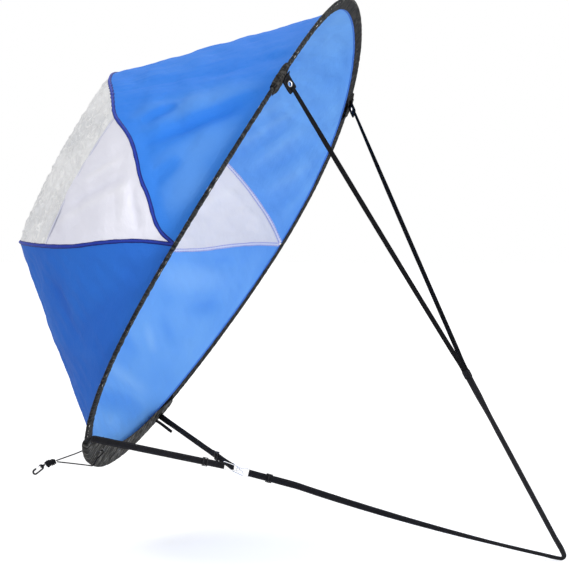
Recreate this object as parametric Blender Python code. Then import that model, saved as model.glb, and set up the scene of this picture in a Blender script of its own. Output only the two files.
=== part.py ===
"""Round pop-up downwind sail for a canoe or kayak.

A springy rod hoop in a black fabric sleeve holds open a deep bag of blue and white cloth. Three
webbing legs, joined by interlocked wire rings, and a forked upper bridle hold the hoop to the boat.
The frame is X towards the paddler, Y across the boat and Z up, in metres. The origin is the middle
of the base patch's underside, where the hoop stands on the deck.
"""

import math

import bmesh
import bpy
import numpy as np
from mathutils import Vector

# Fits that several pieces share
gap = 0.0003
overrun = 0.002

# Hoop: a springy rod inside a flat fabric sleeve, leaning back towards the paddler
hoop_diameter = 1.083
hoop_lean_deg = 29.5
hoop_side_bow = 0.013
hoop_tip_bow = 0.007
hoop_steps = 92
sleeve_width = 0.028
sleeve_thickness = 0.011
sleeve_wall = 0.001
sleeve_corner = 0.0035
sleeve_end_gap = 0.006
rod_diameter = 0.0064
rod_end_gap = 0.0006
ferrule_length = 0.060
ferrule_wall = 0.0007

# Canopy: three cloth bands from side to side, mitred at two seams, like a bag cut from flat cloth
cloth_thickness = 0.0012
cloth_edge_margin = 0.0006
side_seam_angle_deg = 91.2
canopy_end_share = 88.9 / 90
upper_corner_up = 0.180
upper_corner_depth = 0.363
lower_corner_up = -0.218
lower_corner_depth = 0.361
upper_seam_sag = 0.0048
lower_seam_sag = -0.0034
lower_seam_wave = 0.0026
upper_panel_billow = -0.006
middle_panel_billow = 0.0075
lower_panel_billow = -0.002
window_half_share = 47 / 90
fold_depth = 0.0035
cord_hole = 0.008
cord_hole_inset = 0.0060
upper_folds = 3.5
lower_folds = 2.5
binding_width = 0.007
binding_thickness = 0.0009
binding_end_share = 88.4 / 90
hem_width = 0.008
window_tape_width = 0.007

# Fabric patches that wrap the sleeve: the long base patch and one lug band at each upper side
patch_cloth = 0.0012
base_patch_steps = 10
base_flap_width = 0.054
flap_near_end_deg = -30.0
flap_near_full_deg = -22.0
flap_far_full_deg = 27.5
flap_far_end_deg = 37.0
lug_angle_deg = 50.3
lug_band_length = 0.064
lug_flap_width = 0.0275

# Metal eyelets in the overhang of the base patch
near_eyelet_angle_deg = -15.5
middle_eyelet_angle_deg = 5.0
far_eyelet_angle_deg = 26.0
eyelet_bore = 0.005
eyelet_flange = 0.010
eyelet_flange_thickness = 0.0007
eyelet_inset = 0.006

# Upper lug tabs with their eyelets, where the bridle branches are sewn on
tab_angle_deg = 48.8
tab_width = 0.025
tab_thickness = 0.0022
tab_flat_length = 0.010
tab_bend_depth = 0.016
tab_bend_radius = 0.007
tab_free_length = 0.026
tab_eyelet_place = 0.0095
tab_eyelet_bore = 0.009
tab_eyelet_flange = 0.0145
tab_eyelet_rim = 0.0006

# Webbing of the bridle
branch_width = 0.010
branch_thickness = 0.0015
branch_overlap = 0.0085
branch_sag = 0.002
branch_spread = 0.0020
webbing_width = 0.014
webbing_thickness = 0.0013
bridle_fork_x = 0.7521
bridle_fork_z = 0.1976
fork_patch_length = 0.022
fork_patch_wall = 0.0008
fork_start_share = 0.1
fork_leave_share = 0.6
fork_stack_step = 0.0019
turn_x = 0.946
turn_z = -0.168
turn_radius = 0.006
run_sag = 0.008
run_twist_deg = 50.0
upper_twist_share = 0.3
lower_twist_share = 0.2

# Lower legs, their adjusters and the wire rings
ring_joint_x = 0.2846
ring_joint_z = -0.006
anchor_angle_deg = 32.0
anchor_overlap = 0.016
leg_lift_share = 0.06
near_slider_place = 0.050
far_slider_place = 0.070
leg_tail_past_slider = 0.022
run_tail_length = 0.098
run_slider_place = 0.041
layer_gap = 0.0006
loop_taper_length = 0.012
ring_wire = 0.0016
leg_ring_length = 0.044
control_ring_length = 0.028
ring_base_half_width = 0.0085
ring_tip_half_width = 0.0036
ring_corner = 0.0016
ring_corner_share = 0.27
ring_link_reach = 0.0040
main_link_reach = 0.0030
far_link_step = 0.010
near_link_rise = 0.0030
far_link_drop = 0.0050
slider_length = 0.0135
slider_rail = 0.0015
slider_bar = 0.0024
slider_bar_thickness = 0.0012
slider_clearance = 0.0004

# Deck tether at the near side, its knot and its snap hook
tether_diameter = 0.0025
knot_x = -0.0565
knot_y = -0.190
knot_z = 0.0215
knot_length = 0.023
knot_diameter = 0.015
knot_waist_share = 0.72
end_loop_radius = 0.0042
hook_length = 0.027
hook_width = 0.0124
hook_wire = 0.0038
hook_mouth = 0.0092
hook_tilt_deg = -27.0
gate_wire = 0.0012
gate_spread = 0.0058
gate_tip_spread = 0.0020
gate_tip_gap = 0.0006

# Pull loop at the far side
pull_loop_length = 0.043
pull_loop_width = 0.006
pull_loop_cloth = 0.0012
pull_loop_inner = 0.0016
pull_loop_angle_deg = 29.8
pull_loop_drop_share = 0.12
pull_loop_root = 0.004

lean = math.radians(hoop_lean_deg)
hoop_radius = hoop_diameter / 2
up_hoop = np.array([math.sin(lean), 0.0, math.cos(lean)])
out_back = np.array([-math.cos(lean), 0.0, math.sin(lean)])
across = np.array([0.0, 1.0, 0.0])
patch_wrap = gap + patch_cloth


def unit(vector):
    """The vector or rows of vectors at length one."""
    return vector / np.linalg.norm(vector, axis=-1, keepdims=True)


def bow(theta):
    """How far the hoop is bowed out of its plane at this angle from its top."""
    return hoop_side_bow * np.cos(2 * theta) + hoop_tip_bow * np.cos(3 * theta)


hoop_centre = (hoop_radius + patch_wrap) * up_hoop - bow(math.pi) * out_back


def hoop_point(theta, radius, offset=0.0):
    """A point at this angle from the hoop's top, this far from its centre and out of its surface."""
    theta = np.asarray(theta, float)[..., None]
    radius = np.asarray(radius, float)[..., None]
    offset = np.asarray(offset, float)[..., None]
    ring = np.cos(theta) * up_hoop + np.sin(theta) * across
    return hoop_centre + radius * ring + (bow(theta) + offset) * out_back


def radial(theta):
    """The direction out from the hoop's centre at this angle."""
    return math.cos(theta) * up_hoop + math.sin(theta) * across


def clear_scene():
    """Leaves nothing in the file before the model is made."""
    for item in list(bpy.data.objects):
        bpy.data.objects.remove(item, do_unlink=True)


def material(name, colour, roughness, metallic=0.0, alpha=1.0):
    """A plain Principled material, made once."""
    found = bpy.data.materials.get(name)
    if found:
        return found
    made = bpy.data.materials.new(name)
    made.use_nodes = True
    shader = made.node_tree.nodes["Principled BSDF"]
    shader.inputs["Base Color"].default_value = (*colour, 1.0)
    shader.inputs["Roughness"].default_value = roughness
    shader.inputs["Metallic"].default_value = metallic
    shader.inputs["Alpha"].default_value = alpha
    made.diffuse_color = (*colour, alpha)
    return made


def black_sleeve():
    return material("black_polyester_sleeve", (0.045, 0.045, 0.043), 0.75)


def black_webbing():
    return material("black_nylon_webbing", (0.014, 0.014, 0.018), 0.65)


def blue_cloth():
    return material("blue_ripstop_nylon", (0.045, 0.23, 0.80), 0.55)


def white_cloth():
    return material("white_ripstop_nylon", (0.78, 0.79, 0.86), 0.6)


def window_film():
    return material("frosted_window_film", (0.78, 0.80, 0.81), 0.35, alpha=0.8)


def binding_tape():
    return material("royal_blue_binding", (0.02, 0.045, 0.42), 0.7)


def bright_metal():
    return material("bright_plated_wire", (0.80, 0.80, 0.80), 0.25, metallic=1.0)


def black_plastic():
    return material("black_acetal", (0.016, 0.016, 0.018), 0.4)


def rod_glass():
    return material("fibreglass_rod", (0.80, 0.78, 0.70), 0.45)


def add_object(name, bm, finish, smooth_deg=35.0):
    """Makes the mesh an object with its normals out, shaded smooth up to this angle."""
    bmesh.ops.recalc_face_normals(bm, faces=bm.faces)
    mesh = bpy.data.meshes.new(name)
    bm.to_mesh(mesh)
    bm.free()
    mesh.shade_smooth()
    mesh.set_sharp_from_angle(angle=math.radians(smooth_deg))
    mesh.materials.append(finish)
    made = bpy.data.objects.new(name, mesh)
    bpy.context.scene.collection.objects.link(made)
    return made


def grid_solid(bm, rings, closed=False):
    """Skins rows of points, each row a closed section, into one tube with flat ends or joined ends."""
    rows = [[bm.verts.new(point) for point in ring] for ring in rings]
    count = len(rows[0])
    last = len(rows) if closed else len(rows) - 1
    for i in range(last):
        here, there = rows[i], rows[(i + 1) % len(rows)]
        for j in range(count):
            k = (j + 1) % count
            bm.faces.new((here[j], here[k], there[k], there[j]))
    if not closed:
        bm.faces.new(rows[0])
        bm.faces.new(rows[-1][::-1])


def sheet_solid(bm, outer, inner):
    """Closes two grids of points, an outer and an inner face, into one thin solid."""
    rows, columns = outer.shape[:2]
    top = [[bm.verts.new(outer[i, j]) for j in range(columns)] for i in range(rows)]
    low = [[bm.verts.new(inner[i, j]) for j in range(columns)] for i in range(rows)]
    for i in range(rows - 1):
        for j in range(columns - 1):
            bm.faces.new((top[i][j], top[i + 1][j], top[i + 1][j + 1], top[i][j + 1]))
            bm.faces.new((low[i][j], low[i][j + 1], low[i + 1][j + 1], low[i + 1][j]))
    for i in range(rows - 1):
        for j in (0, columns - 1):
            bm.faces.new((top[i][j], low[i][j], low[i + 1][j], top[i + 1][j]))
    for j in range(columns - 1):
        for i in (0, rows - 1):
            bm.faces.new((top[i][j], top[i][j + 1], low[i][j + 1], low[i][j]))


def frames_along(points, side, closed=False):
    """Unit tangents, side directions and normals along a path, the sides kept square to it."""
    points = np.asarray(points, float)
    steps = unit(np.roll(points, -1, 0) - points)
    before = np.roll(steps, 1, 0)
    if not closed:
        steps[-1] = steps[-2]
        before[0] = steps[0]
    tangent = unit(steps + before)
    side = np.broadcast_to(np.asarray(side, float), points.shape)
    side = unit(side - (side * tangent).sum(1, keepdims=True) * tangent)
    return tangent, side, np.cross(tangent, side)


def strip(name, points, side, width, thickness, finish):
    """A flat strap along a path: its width lies along side, its thickness square to both."""
    points = np.asarray(points, float)
    tangent, side, normal = frames_along(points, side)
    half_w, half_t = width / 2, thickness / 2
    rings = [
        [
            p - half_w * s - half_t * n,
            p + half_w * s - half_t * n,
            p + half_w * s + half_t * n,
            p - half_w * s + half_t * n,
        ]
        for p, s, n in zip(points, side, normal)
    ]
    bm = bmesh.new()
    grid_solid(bm, rings)
    return add_object(name, bm, finish)


def round_tube(bm, points, side, radius, sides=8, closed=False):
    """A round bar along a path."""
    points = np.asarray(points, float)
    tangent, side, normal = frames_along(points, side, closed)
    turns = [2 * math.pi * (k + 0.5) / sides for k in range(sides)]
    rings = [
        [p + radius * (math.cos(a) * s + math.sin(a) * n) for a in turns]
        for p, s, n in zip(points, side, normal)
    ]
    grid_solid(bm, rings, closed)


def arc_points(centre, first, second, radius, start, stop, count):
    """Points on an arc in the plane of two directions, angles in radians."""
    turns = np.linspace(start, stop, count)[:, None]
    return centre + radius * (np.cos(turns) * first + np.sin(turns) * second)


def swept_round_hoop(bm, thetas, centre_radius, radius, sides):
    """A round section carried round the hoop."""
    turns = [2 * math.pi * (k + 0.5) / sides for k in range(sides)]
    rings = [
        [
            hoop_point(t, centre_radius + radius * math.cos(a), radius * math.sin(a))
            for a in turns
        ]
        for t in thetas
    ]
    grid_solid(bm, rings)


def bore_hoop(bm, thetas, centre_radius, outer, inner, sides):
    """A round tube carried round the hoop, open at both ends."""
    turns = [2 * math.pi * (k + 0.5) / sides for k in range(sides)]

    def ring(t, radius):
        return [
            bm.verts.new(
                hoop_point(t, centre_radius + radius * math.cos(a), radius * math.sin(a))
            )
            for a in turns
        ]

    outside = [ring(t, outer) for t in thetas]
    inside = [ring(t, inner) for t in thetas]
    join_tube_walls(bm, outside, inside)


def join_tube_walls(bm, outside, inside):
    """Faces of a tube with a bore: its outer wall, its inner wall and its two end rims."""
    count = len(outside[0])
    for rows in (outside, inside):
        for here, there in zip(rows, rows[1:]):
            for j in range(count):
                k = (j + 1) % count
                bm.faces.new((here[j], here[k], there[k], there[j]))
    for end in (0, -1):
        for j in range(count):
            k = (j + 1) % count
            bm.faces.new((outside[end][j], outside[end][k], inside[end][k], inside[end][j]))


ferrule_bore_radius = rod_diameter / 2 + gap
ferrule_outer_radius = ferrule_bore_radius + ferrule_wall
rod_radius_place = hoop_radius - sleeve_wall - gap - ferrule_outer_radius
ferrule_half_angle = ferrule_length / 2 / rod_radius_place
hoop_step = 2 * math.pi / hoop_steps


def hoop_stations(start, stop):
    """Angles from one end to another, with the stations that all pieces of the hoop share between."""
    whole = np.arange(math.ceil(start / hoop_step), math.floor(stop / hoop_step) + 1) * hoop_step
    shared = np.concatenate(
        [whole, [math.pi - ferrule_half_angle, math.pi + ferrule_half_angle],
         [3 * math.pi - ferrule_half_angle]]
    )
    clear = hoop_step / 1000
    inner = [t for t in shared if start + clear < t < stop - clear]
    return np.array([start] + sorted(inner) + [stop])


def make_hoop_rod():
    """The springy rod: one length bent into the hoop, its ends meeting inside the ferrule."""
    half_gap = rod_end_gap / 2 / hoop_radius
    thetas = hoop_stations(math.pi + half_gap, 3 * math.pi - half_gap)
    bm = bmesh.new()
    swept_round_hoop(bm, thetas, rod_radius_place, rod_diameter / 2, 8)
    return add_object("hoop_rod", bm, rod_glass())


def make_hoop_ferrule():
    """The metal tube that joins the rod's two ends at the base."""
    half_gap = rod_end_gap / 2 / hoop_radius
    half = ferrule_half_angle
    thetas = [math.pi - half, math.pi - half_gap, math.pi + half_gap, math.pi + half]
    bm = bmesh.new()
    bore_hoop(bm, thetas, rod_radius_place, ferrule_outer_radius, ferrule_bore_radius, 8)
    return add_object("hoop_ferrule", bm, bright_metal())


def flat_section(width, thickness, corner):
    """A flat section with cut corners, as radius and offset from the sleeve's middle."""
    w, t, c = width / 2, thickness / 2, corner
    return [
        (-w, -t + c),
        (-w + c, -t),
        (w - c, -t),
        (w, -t + c),
        (w, t - c),
        (w - c, t),
        (-w + c, t),
        (-w, t - c),
    ]


sleeve_middle = hoop_radius - sleeve_width / 2


def make_hoop_sleeve():
    """The fabric sleeve round the rod, its two ends just apart under the base patch."""
    half_gap = sleeve_end_gap / 2 / hoop_radius
    thetas = hoop_stations(math.pi + half_gap, 3 * math.pi - half_gap)
    outer = flat_section(sleeve_width, sleeve_thickness, sleeve_corner)
    inner = flat_section(
        sleeve_width - 2 * sleeve_wall,
        sleeve_thickness - 2 * sleeve_wall,
        sleeve_corner - sleeve_wall / 2,
    )
    bm = bmesh.new()

    def ring(t, section):
        return [bm.verts.new(hoop_point(t, sleeve_middle + r, w)) for r, w in section]

    outside = [ring(t, outer) for t in thetas]
    inside = [ring(t, inner) for t in thetas]
    join_tube_walls(bm, outside, inside)
    return add_object("hoop_sleeve", bm, black_sleeve())


cloth_radius = hoop_radius - sleeve_width - gap - cloth_thickness / 2 - gap
side_angle = math.radians(side_seam_angle_deg)
side_middle = hoop_point(side_angle, cloth_radius) * (1 - across)
side_reach = cloth_radius * math.sin(side_angle)
upper_corner = hoop_centre + upper_corner_up * up_hoop + upper_corner_depth * out_back
lower_corner = hoop_centre + lower_corner_up * up_hoop + lower_corner_depth * out_back
hoop_crown = hoop_point(0.0, cloth_radius)
hoop_foot = hoop_point(math.pi, cloth_radius)


def seam_curve(share, corner, sag, wave=0.0):
    """The seam from side to side through a canopy corner: half an ellipse, slightly uneven."""
    phi = share * math.pi / 2
    reach = corner - side_middle
    along = unit(reach)
    square = np.cross(across, along)
    drift = sag * np.sin(2 * np.abs(phi)) + wave * np.sin(4 * np.abs(phi))
    return (
        side_middle
        + np.cos(phi)[:, None] * reach
        + (side_reach * np.sin(phi))[:, None] * across
        + drift[:, None] * square
    )


def upper_seam(share):
    return seam_curve(share, upper_corner, upper_seam_sag)


def lower_seam(share):
    return seam_curve(share, lower_corner, lower_seam_sag, lower_seam_wave)


def upper_edge(share):
    """Where the upper panel meets the sleeve."""
    return hoop_point(share * side_angle, cloth_radius)


def lower_edge(share):
    """Where the lower panel meets the sleeve."""
    return hoop_point(math.pi - share * (math.pi - side_angle), cloth_radius)


def panel_surface(share, across_share, start_curve, end_curve, square, billow, folds):
    """Straight threads from one edge curve to the other, pushed out by billow and soft folds."""
    start = start_curve(share)[:, None, :]
    end = end_curve(share)[:, None, :]
    v = across_share[None, :, None]
    spread = np.cos(share * math.pi / 2)[:, None, None]
    lift = 4 * v * (1 - v) * billow * spread
    fan = np.cos(folds * math.pi * (np.abs(share)[:, None, None] - v / 4))
    pleat = fold_depth * fan * np.sin(math.pi * v) ** 2 * spread
    return start + v * (end - start) + (lift + pleat * (folds > 0)) * square


def surface_normals(surface):
    """Unit normals of a grid of points, pointing out of the bag."""
    along = np.gradient(surface, axis=0)
    down = np.gradient(surface, axis=1)
    normal = unit(np.cross(along, down))
    away = surface - (hoop_centre + upper_corner_depth / 3 * out_back)
    return normal * np.sign((normal * away).sum(-1, keepdims=True))


upper_square = unit(np.cross(hoop_crown - upper_corner, across))
middle_square = unit(np.cross(upper_corner - lower_corner, across))
lower_square = unit(np.cross(lower_corner - hoop_foot, across))


window_columns = 12
side_columns = 11
panel_rows = 11


def canopy_stations():
    """Shares of the half turn that all the canopy's pieces have their threads at."""
    middle = np.linspace(0, window_half_share, window_columns + 1)
    sides = np.linspace(window_half_share, canopy_end_share, side_columns + 1)[1:]
    half = np.concatenate([middle, sides])
    return np.concatenate([-half[:0:-1], half])


def panel_lookup(surface, spread):
    """Reads a grid of points at new shares of its rows."""
    columns, rows = surface.shape[:2]
    place = spread * (rows - 1)
    low = np.clip(place.astype(int), 0, rows - 2)
    part = (place - low)[..., None]
    picks = np.arange(columns)[:, None]
    return surface[picks, low] * (1 - part) + surface[picks, low + 1] * part


def panel_grid(share, rows, kind):
    """Grid of a panel's middle surface at these shares of the half turn."""
    start_curve, end_curve, square, billow, folds, start_margin = kind
    length = np.linalg.norm(end_curve(share) - start_curve(share), axis=1)
    v = np.linspace(0, 1, rows)
    surface = panel_surface(share, v, start_curve, end_curve, square, billow, folds)
    inset = (cloth_edge_margin / length)[:, None]
    first = inset * start_margin
    return panel_lookup(surface, first + v[None, :] * (1 - inset - first))


upper_kind = (upper_edge, upper_seam, upper_square, upper_panel_billow, upper_folds, 0)
middle_kind = (upper_seam, lower_seam, middle_square, middle_panel_billow, 0, 1)
lower_kind = (lower_edge, lower_seam, lower_square, lower_panel_billow, lower_folds, 0)


def make_panel(name, share, kind, finish):
    """A cloth panel with its thickness."""
    surface = panel_grid(share, panel_rows, kind)
    normal = surface_normals(surface)
    half = cloth_thickness / 2
    bm = bmesh.new()
    sheet_solid(bm, surface + half * normal, surface - half * normal)
    return add_object(name, bm, finish)


def window_split():
    """How far the panels beside the window stop short of its edge, as a share of the half turn."""
    return window_half_share + 2 * cloth_edge_margin / (side_reach * math.pi / 2)


def make_canopy():
    """The cloth bands: blue above, white beside the window, the window film, blue below."""
    share = canopy_stations()
    make_panel("upper_blue_panel", share, upper_kind, blue_cloth())
    lower = make_panel("lower_blue_panel", share, lower_kind, blue_cloth())
    cut_cord_hole(lower)
    window = share[side_columns:-side_columns]
    make_panel("window_panel", window, middle_kind, window_film())
    side = share[-side_columns - 1 :].copy()
    side[0] = window_split()
    make_panel("near_white_panel", -side[::-1], middle_kind, white_cloth())
    make_panel("far_white_panel", side, middle_kind, white_cloth())


def cord_hole_place():
    """Centre and outward direction of the hole that lets the tether out through the lower panel."""
    share = np.array([math.radians(near_eyelet_angle_deg) / (math.pi - side_angle)])
    edge = lower_edge(share)[0]
    inward = unit(lower_seam(share)[0] - edge)
    tangent = unit(lower_edge(2 * share)[0] - lower_edge(0 * share)[0])
    axis = np.cross(tangent, inward)
    axis = axis * np.sign(axis @ out_back)
    return edge + inward * cord_hole_inset, axis, inward


def cut_cord_hole(panel):
    """A small hole behind the near base eyelet lets the tether out of the bag."""
    centre, axis, inward = cord_hole_place()
    hole = bmesh.new()
    straight_post(hole, centre, axis, inward, cord_hole / 2, cloth_thickness + 2 * overrun, 10)
    cut(panel, hidden_cutter("cord_hole_cutter", hole))


def seam_sides(share, seam, first, second):
    """At each point of a seam: directions into both panels, and both outward normals."""
    point = seam(share)
    tangent = unit(np.gradient(point, axis=0))
    away = point - (hoop_centre + upper_corner_depth / 3 * out_back)
    sides = []
    for kind, at_end in (first, second):
        start_curve, end_curve, square, billow, folds, margin = kind
        ends = np.array([1.0, 1 - 1 / (panel_rows - 1)] if at_end else [0.0, 1 / (panel_rows - 1)])
        edge = panel_surface(share, ends, start_curve, end_curve, square, billow, folds)
        ruling = edge[:, 1] - edge[:, 0]
        normal = unit(np.cross(tangent, ruling))
        normal = normal * np.sign((normal * away).sum(1, keepdims=True))
        into = unit(ruling - (ruling * tangent).sum(1, keepdims=True) * tangent)
        sides.append((into, normal))
    return point, sides


def make_seam_strip(name, seam, first, second, width, thickness, face, finish):
    """A tape folded over a seam from side to side, outside the bag (face 1) or inside (face -1)."""
    share = canopy_stations()
    share[0], share[-1] = -binding_end_share, binding_end_share
    point, ((into_a, normal_a), (into_b, normal_b)) = seam_sides(share, seam, first, second)
    middle = unit(normal_a + normal_b)
    cos_half = (middle * normal_a).sum(1, keepdims=True)
    near = face * (cloth_thickness / 2 + gap)
    deep = near + face * thickness
    reach = width / 2
    rings = np.stack(
        [
            point + into_a * reach + normal_a * near,
            point + middle * near / cos_half,
            point + into_b * reach + normal_b * near,
            point + into_b * reach + normal_b * deep,
            point + middle * deep / cos_half,
            point + into_a * reach + normal_a * deep,
        ],
        axis=1,
    )
    bm = bmesh.new()
    grid_solid(bm, rings)
    return add_object(name, bm, finish)


def make_seam_tapes():
    """Blue binding outside each long seam, white hem inside it, white tape on the window's sides."""
    upper = (upper_seam, (upper_kind, True), (middle_kind, False))
    lower = (lower_seam, (middle_kind, True), (lower_kind, True))
    for label, kind in (("upper", upper), ("lower", lower)):
        make_seam_strip(
            f"{label}_seam_binding", *kind, binding_width, binding_thickness, 1, binding_tape()
        )
        make_seam_strip(
            f"{label}_seam_hem", *kind, hem_width, binding_thickness, -1, white_cloth()
        )
    for label, sign in (("near", -1), ("far", 1)):
        make_window_tape(f"{label}_window_tape", sign)


def make_window_tape(name, sign):
    """A stitched tape over the join of window and white panel, outside the bag."""
    half = window_tape_width / 2 / (side_reach * math.pi / 2)
    start = window_half_share - half
    share = sign * np.linspace(start, start + 2 * half, 3)
    v = np.linspace(0, 1, panel_rows)
    surface = panel_surface(
        share, v, upper_seam, lower_seam, middle_square, middle_panel_billow, 0
    )
    length = np.linalg.norm(surface[:, 0] - surface[:, -1], axis=1)
    inset = (binding_width / 2 + 2 * cloth_thickness) / length
    spread = inset[:, None] + v[None, :] * (1 - 2 * inset)[:, None]
    surface = panel_lookup(surface, spread)
    normal = surface_normals(surface)
    low = cloth_thickness / 2 + gap
    high = low + binding_thickness / 2
    bm = bmesh.new()
    sheet_solid(bm, surface + high * normal, surface + low * normal)
    return add_object(name, bm, white_cloth())


def base_flap_reach(theta):
    """Width of the base patch's front flap: full over its eyelets, and the sleeve's at its ends."""
    place = math.degrees(math.pi - theta)
    ends = [flap_near_end_deg, flap_near_full_deg, flap_far_full_deg, flap_far_end_deg]
    fullness = float(np.interp(place, ends, [0.0, 1.0, 1.0, 0.0]))
    return sleeve_width + fullness * (base_flap_width - sleeve_width)


def wrap_section(front_reach, back_reach):
    """Section of a patch folded over the sleeve's outer edge: front flap, rim, back flap."""
    low = sleeve_thickness / 2 + gap
    high = low + patch_cloth
    rim_in = hoop_radius + gap
    rim_out = rim_in + patch_cloth
    cut = sleeve_corner / 2
    front = hoop_radius - front_reach
    back = hoop_radius - back_reach
    return [
        (front, -high),
        (rim_out - cut, -high),
        (rim_out, -high + cut),
        (rim_out, high - cut),
        (rim_out - cut, high),
        (back, high),
        (back, low),
        (rim_in - cut / 2, low),
        (rim_in, low - cut / 2),
        (rim_in, -low + cut / 2),
        (rim_in - cut / 2, -low),
        (front, -low),
    ]


def make_wrap_patch(name, start, stop, front_reach_at, back_reach, finish):
    """A patch carried round a stretch of the hoop, its front flap as wide as it is at each angle."""
    rings = [
        [hoop_point(t, r, w) for r, w in wrap_section(front_reach_at(t), back_reach)]
        for t in hoop_stations(start, stop)
    ]
    bm = bmesh.new()
    grid_solid(bm, rings)
    return add_object(name, bm, finish)


def hidden_cutter(name, bm):
    """A shape that only cuts others."""
    bmesh.ops.recalc_face_normals(bm, faces=bm.faces)
    mesh = bpy.data.meshes.new(name)
    bm.to_mesh(mesh)
    bm.free()
    made = bpy.data.objects.new(name, mesh)
    made.hide_render = True
    made.display_type = "WIRE"
    bpy.context.scene.collection.objects.link(made)
    return made


def cut(target, cutter):
    modifier = target.modifiers.new("Hole", "BOOLEAN")
    modifier.operation = "DIFFERENCE"
    modifier.object = cutter


def straight_post(bm, centre, axis, side, radius, length, sides):
    """A round post centred on a point."""
    half = axis * length / 2
    round_tube(bm, [centre - half, centre + half], side, radius, sides)


def eyelet_place(theta):
    """Centre and axis of an eyelet in the base patch's front flap."""
    middle_offset = -(sleeve_thickness / 2 + gap + patch_cloth / 2)
    radius = hoop_radius - sleeve_width - eyelet_inset
    return hoop_point(theta, radius, middle_offset)


def make_eyelet(bm, centre, axis, side, bore, flange, thickness, rim, sides=12):
    """A rolled eyelet: a barrel through the cloth with a flange on each face."""
    reach = thickness / 2 + gap
    barrel = bore / 2 + rim
    profile = [
        (bore / 2, -reach - rim),
        (flange / 2, -reach - rim),
        (flange / 2, -reach),
        (barrel, -reach),
        (barrel, reach),
        (flange / 2, reach),
        (flange / 2, reach + rim),
        (bore / 2, reach + rim),
    ]
    square = np.cross(axis, side)
    rings = []
    for k in range(sides):
        a = 2 * math.pi * k / sides
        out = math.cos(a) * side + math.sin(a) * square
        rings.append([centre + r * out + h * axis for r, h in profile])
    grid_solid(bm, rings, closed=True)


def make_base():
    """The long base patch with its three eyelets."""
    half = base_patch_steps * hoop_step
    patch = make_wrap_patch(
        "base_patch",
        math.pi - half,
        math.pi + half,
        base_flap_reach,
        sleeve_width,
        black_sleeve(),
    )
    holes = bmesh.new()
    places = (
        ("near", near_eyelet_angle_deg),
        ("middle", middle_eyelet_angle_deg),
        ("far", far_eyelet_angle_deg),
    )
    for label, angle in places:
        theta = math.pi - math.radians(angle)
        centre = eyelet_place(theta)
        radius = eyelet_bore / 2 + eyelet_flange_thickness + gap
        length = patch_cloth + 2 * overrun
        straight_post(holes, centre, out_back, radial(theta), radius, length, 12)
        rim = bmesh.new()
        make_eyelet(
            rim,
            centre,
            out_back,
            radial(theta),
            eyelet_bore,
            eyelet_flange,
            patch_cloth,
            eyelet_flange_thickness,
        )
        add_object(f"{label}_base_eyelet", rim, bright_metal())
    cut(patch, hidden_cutter("base_eyelet_cutter", holes))


def lug_frame(sign):
    """Angle, outward direction, branch direction and width direction of an upper lug."""
    theta = sign * math.radians(tab_angle_deg)
    out = radial(theta)
    face_offset = -(sleeve_thickness / 2 + patch_wrap + 2 * gap + tab_thickness / 2)
    start = hoop_point(theta, hoop_radius - tab_bend_depth + tab_flat_length, face_offset)
    corner = start - out * tab_flat_length
    fork = np.array([bridle_fork_x, sign * fork_stack_step, bridle_fork_z])
    pull = unit(fork - corner)
    ahead = hoop_point(theta + hoop_step / 8, sleeve_middle)
    width = unit(ahead - hoop_point(theta - hoop_step / 8, sleeve_middle))
    return theta, out, start, corner, pull, width


def tab_path(sign):
    """Flat on the band, then bent towards the branch."""
    theta, out, start, corner, pull, width = lug_frame(sign)
    inward = -out
    turn = math.acos(float(np.clip(inward @ pull, -1, 1)))
    square = unit(pull - (pull @ inward) * inward)
    centre = corner + square * tab_bend_radius
    bend = arc_points(centre, -square, inward, tab_bend_radius, 0.0, turn, 5)
    leave = math.cos(turn) * inward + math.sin(turn) * square
    end = bend[-1] + leave * tab_free_length
    return np.vstack([start[None], bend, end[None]]), bend[-1], leave


def make_lug(label, sign):
    """An upper lug: a band round the sleeve, a webbing tab bent off it and the tab's eyelet."""
    theta, out, start, corner, pull, width = lug_frame(sign)
    middle = sign * math.radians(lug_angle_deg)
    half = lug_band_length / 2 / hoop_radius
    make_wrap_patch(
        f"{label}_lug_band",
        middle - half,
        middle + half,
        lambda place: lug_flap_width,
        lug_flap_width,
        black_sleeve(),
    )
    points, bend_end, leave = tab_path(sign)
    tab = strip(f"{label}_lug_tab", points, width, tab_width, tab_thickness, black_webbing())
    centre = bend_end + leave * tab_eyelet_place
    side = unit(width - (width @ leave) * leave)
    axis = np.cross(leave, side)
    hole = bmesh.new()
    radius = tab_eyelet_bore / 2 + tab_eyelet_rim + gap
    straight_post(hole, centre, axis, side, radius, tab_thickness + 2 * overrun, 16)
    cut(tab, hidden_cutter(f"{label}_lug_cutter", hole))
    rim = bmesh.new()
    make_eyelet(
        rim, centre, axis, side, tab_eyelet_bore, tab_eyelet_flange, tab_thickness,
        tab_eyelet_rim, 16,
    )
    add_object(f"{label}_lug_eyelet", rim, bright_metal())


def fork_frame():
    """Direction of the control strap at the fork, and the direction square to it in the middle plane."""
    fork = np.array([bridle_fork_x, 0.0, bridle_fork_z])
    turn = np.array([turn_x, 0.0, turn_z])
    down = unit(turn - fork)
    return fork, down, np.cross(down, across)


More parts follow.
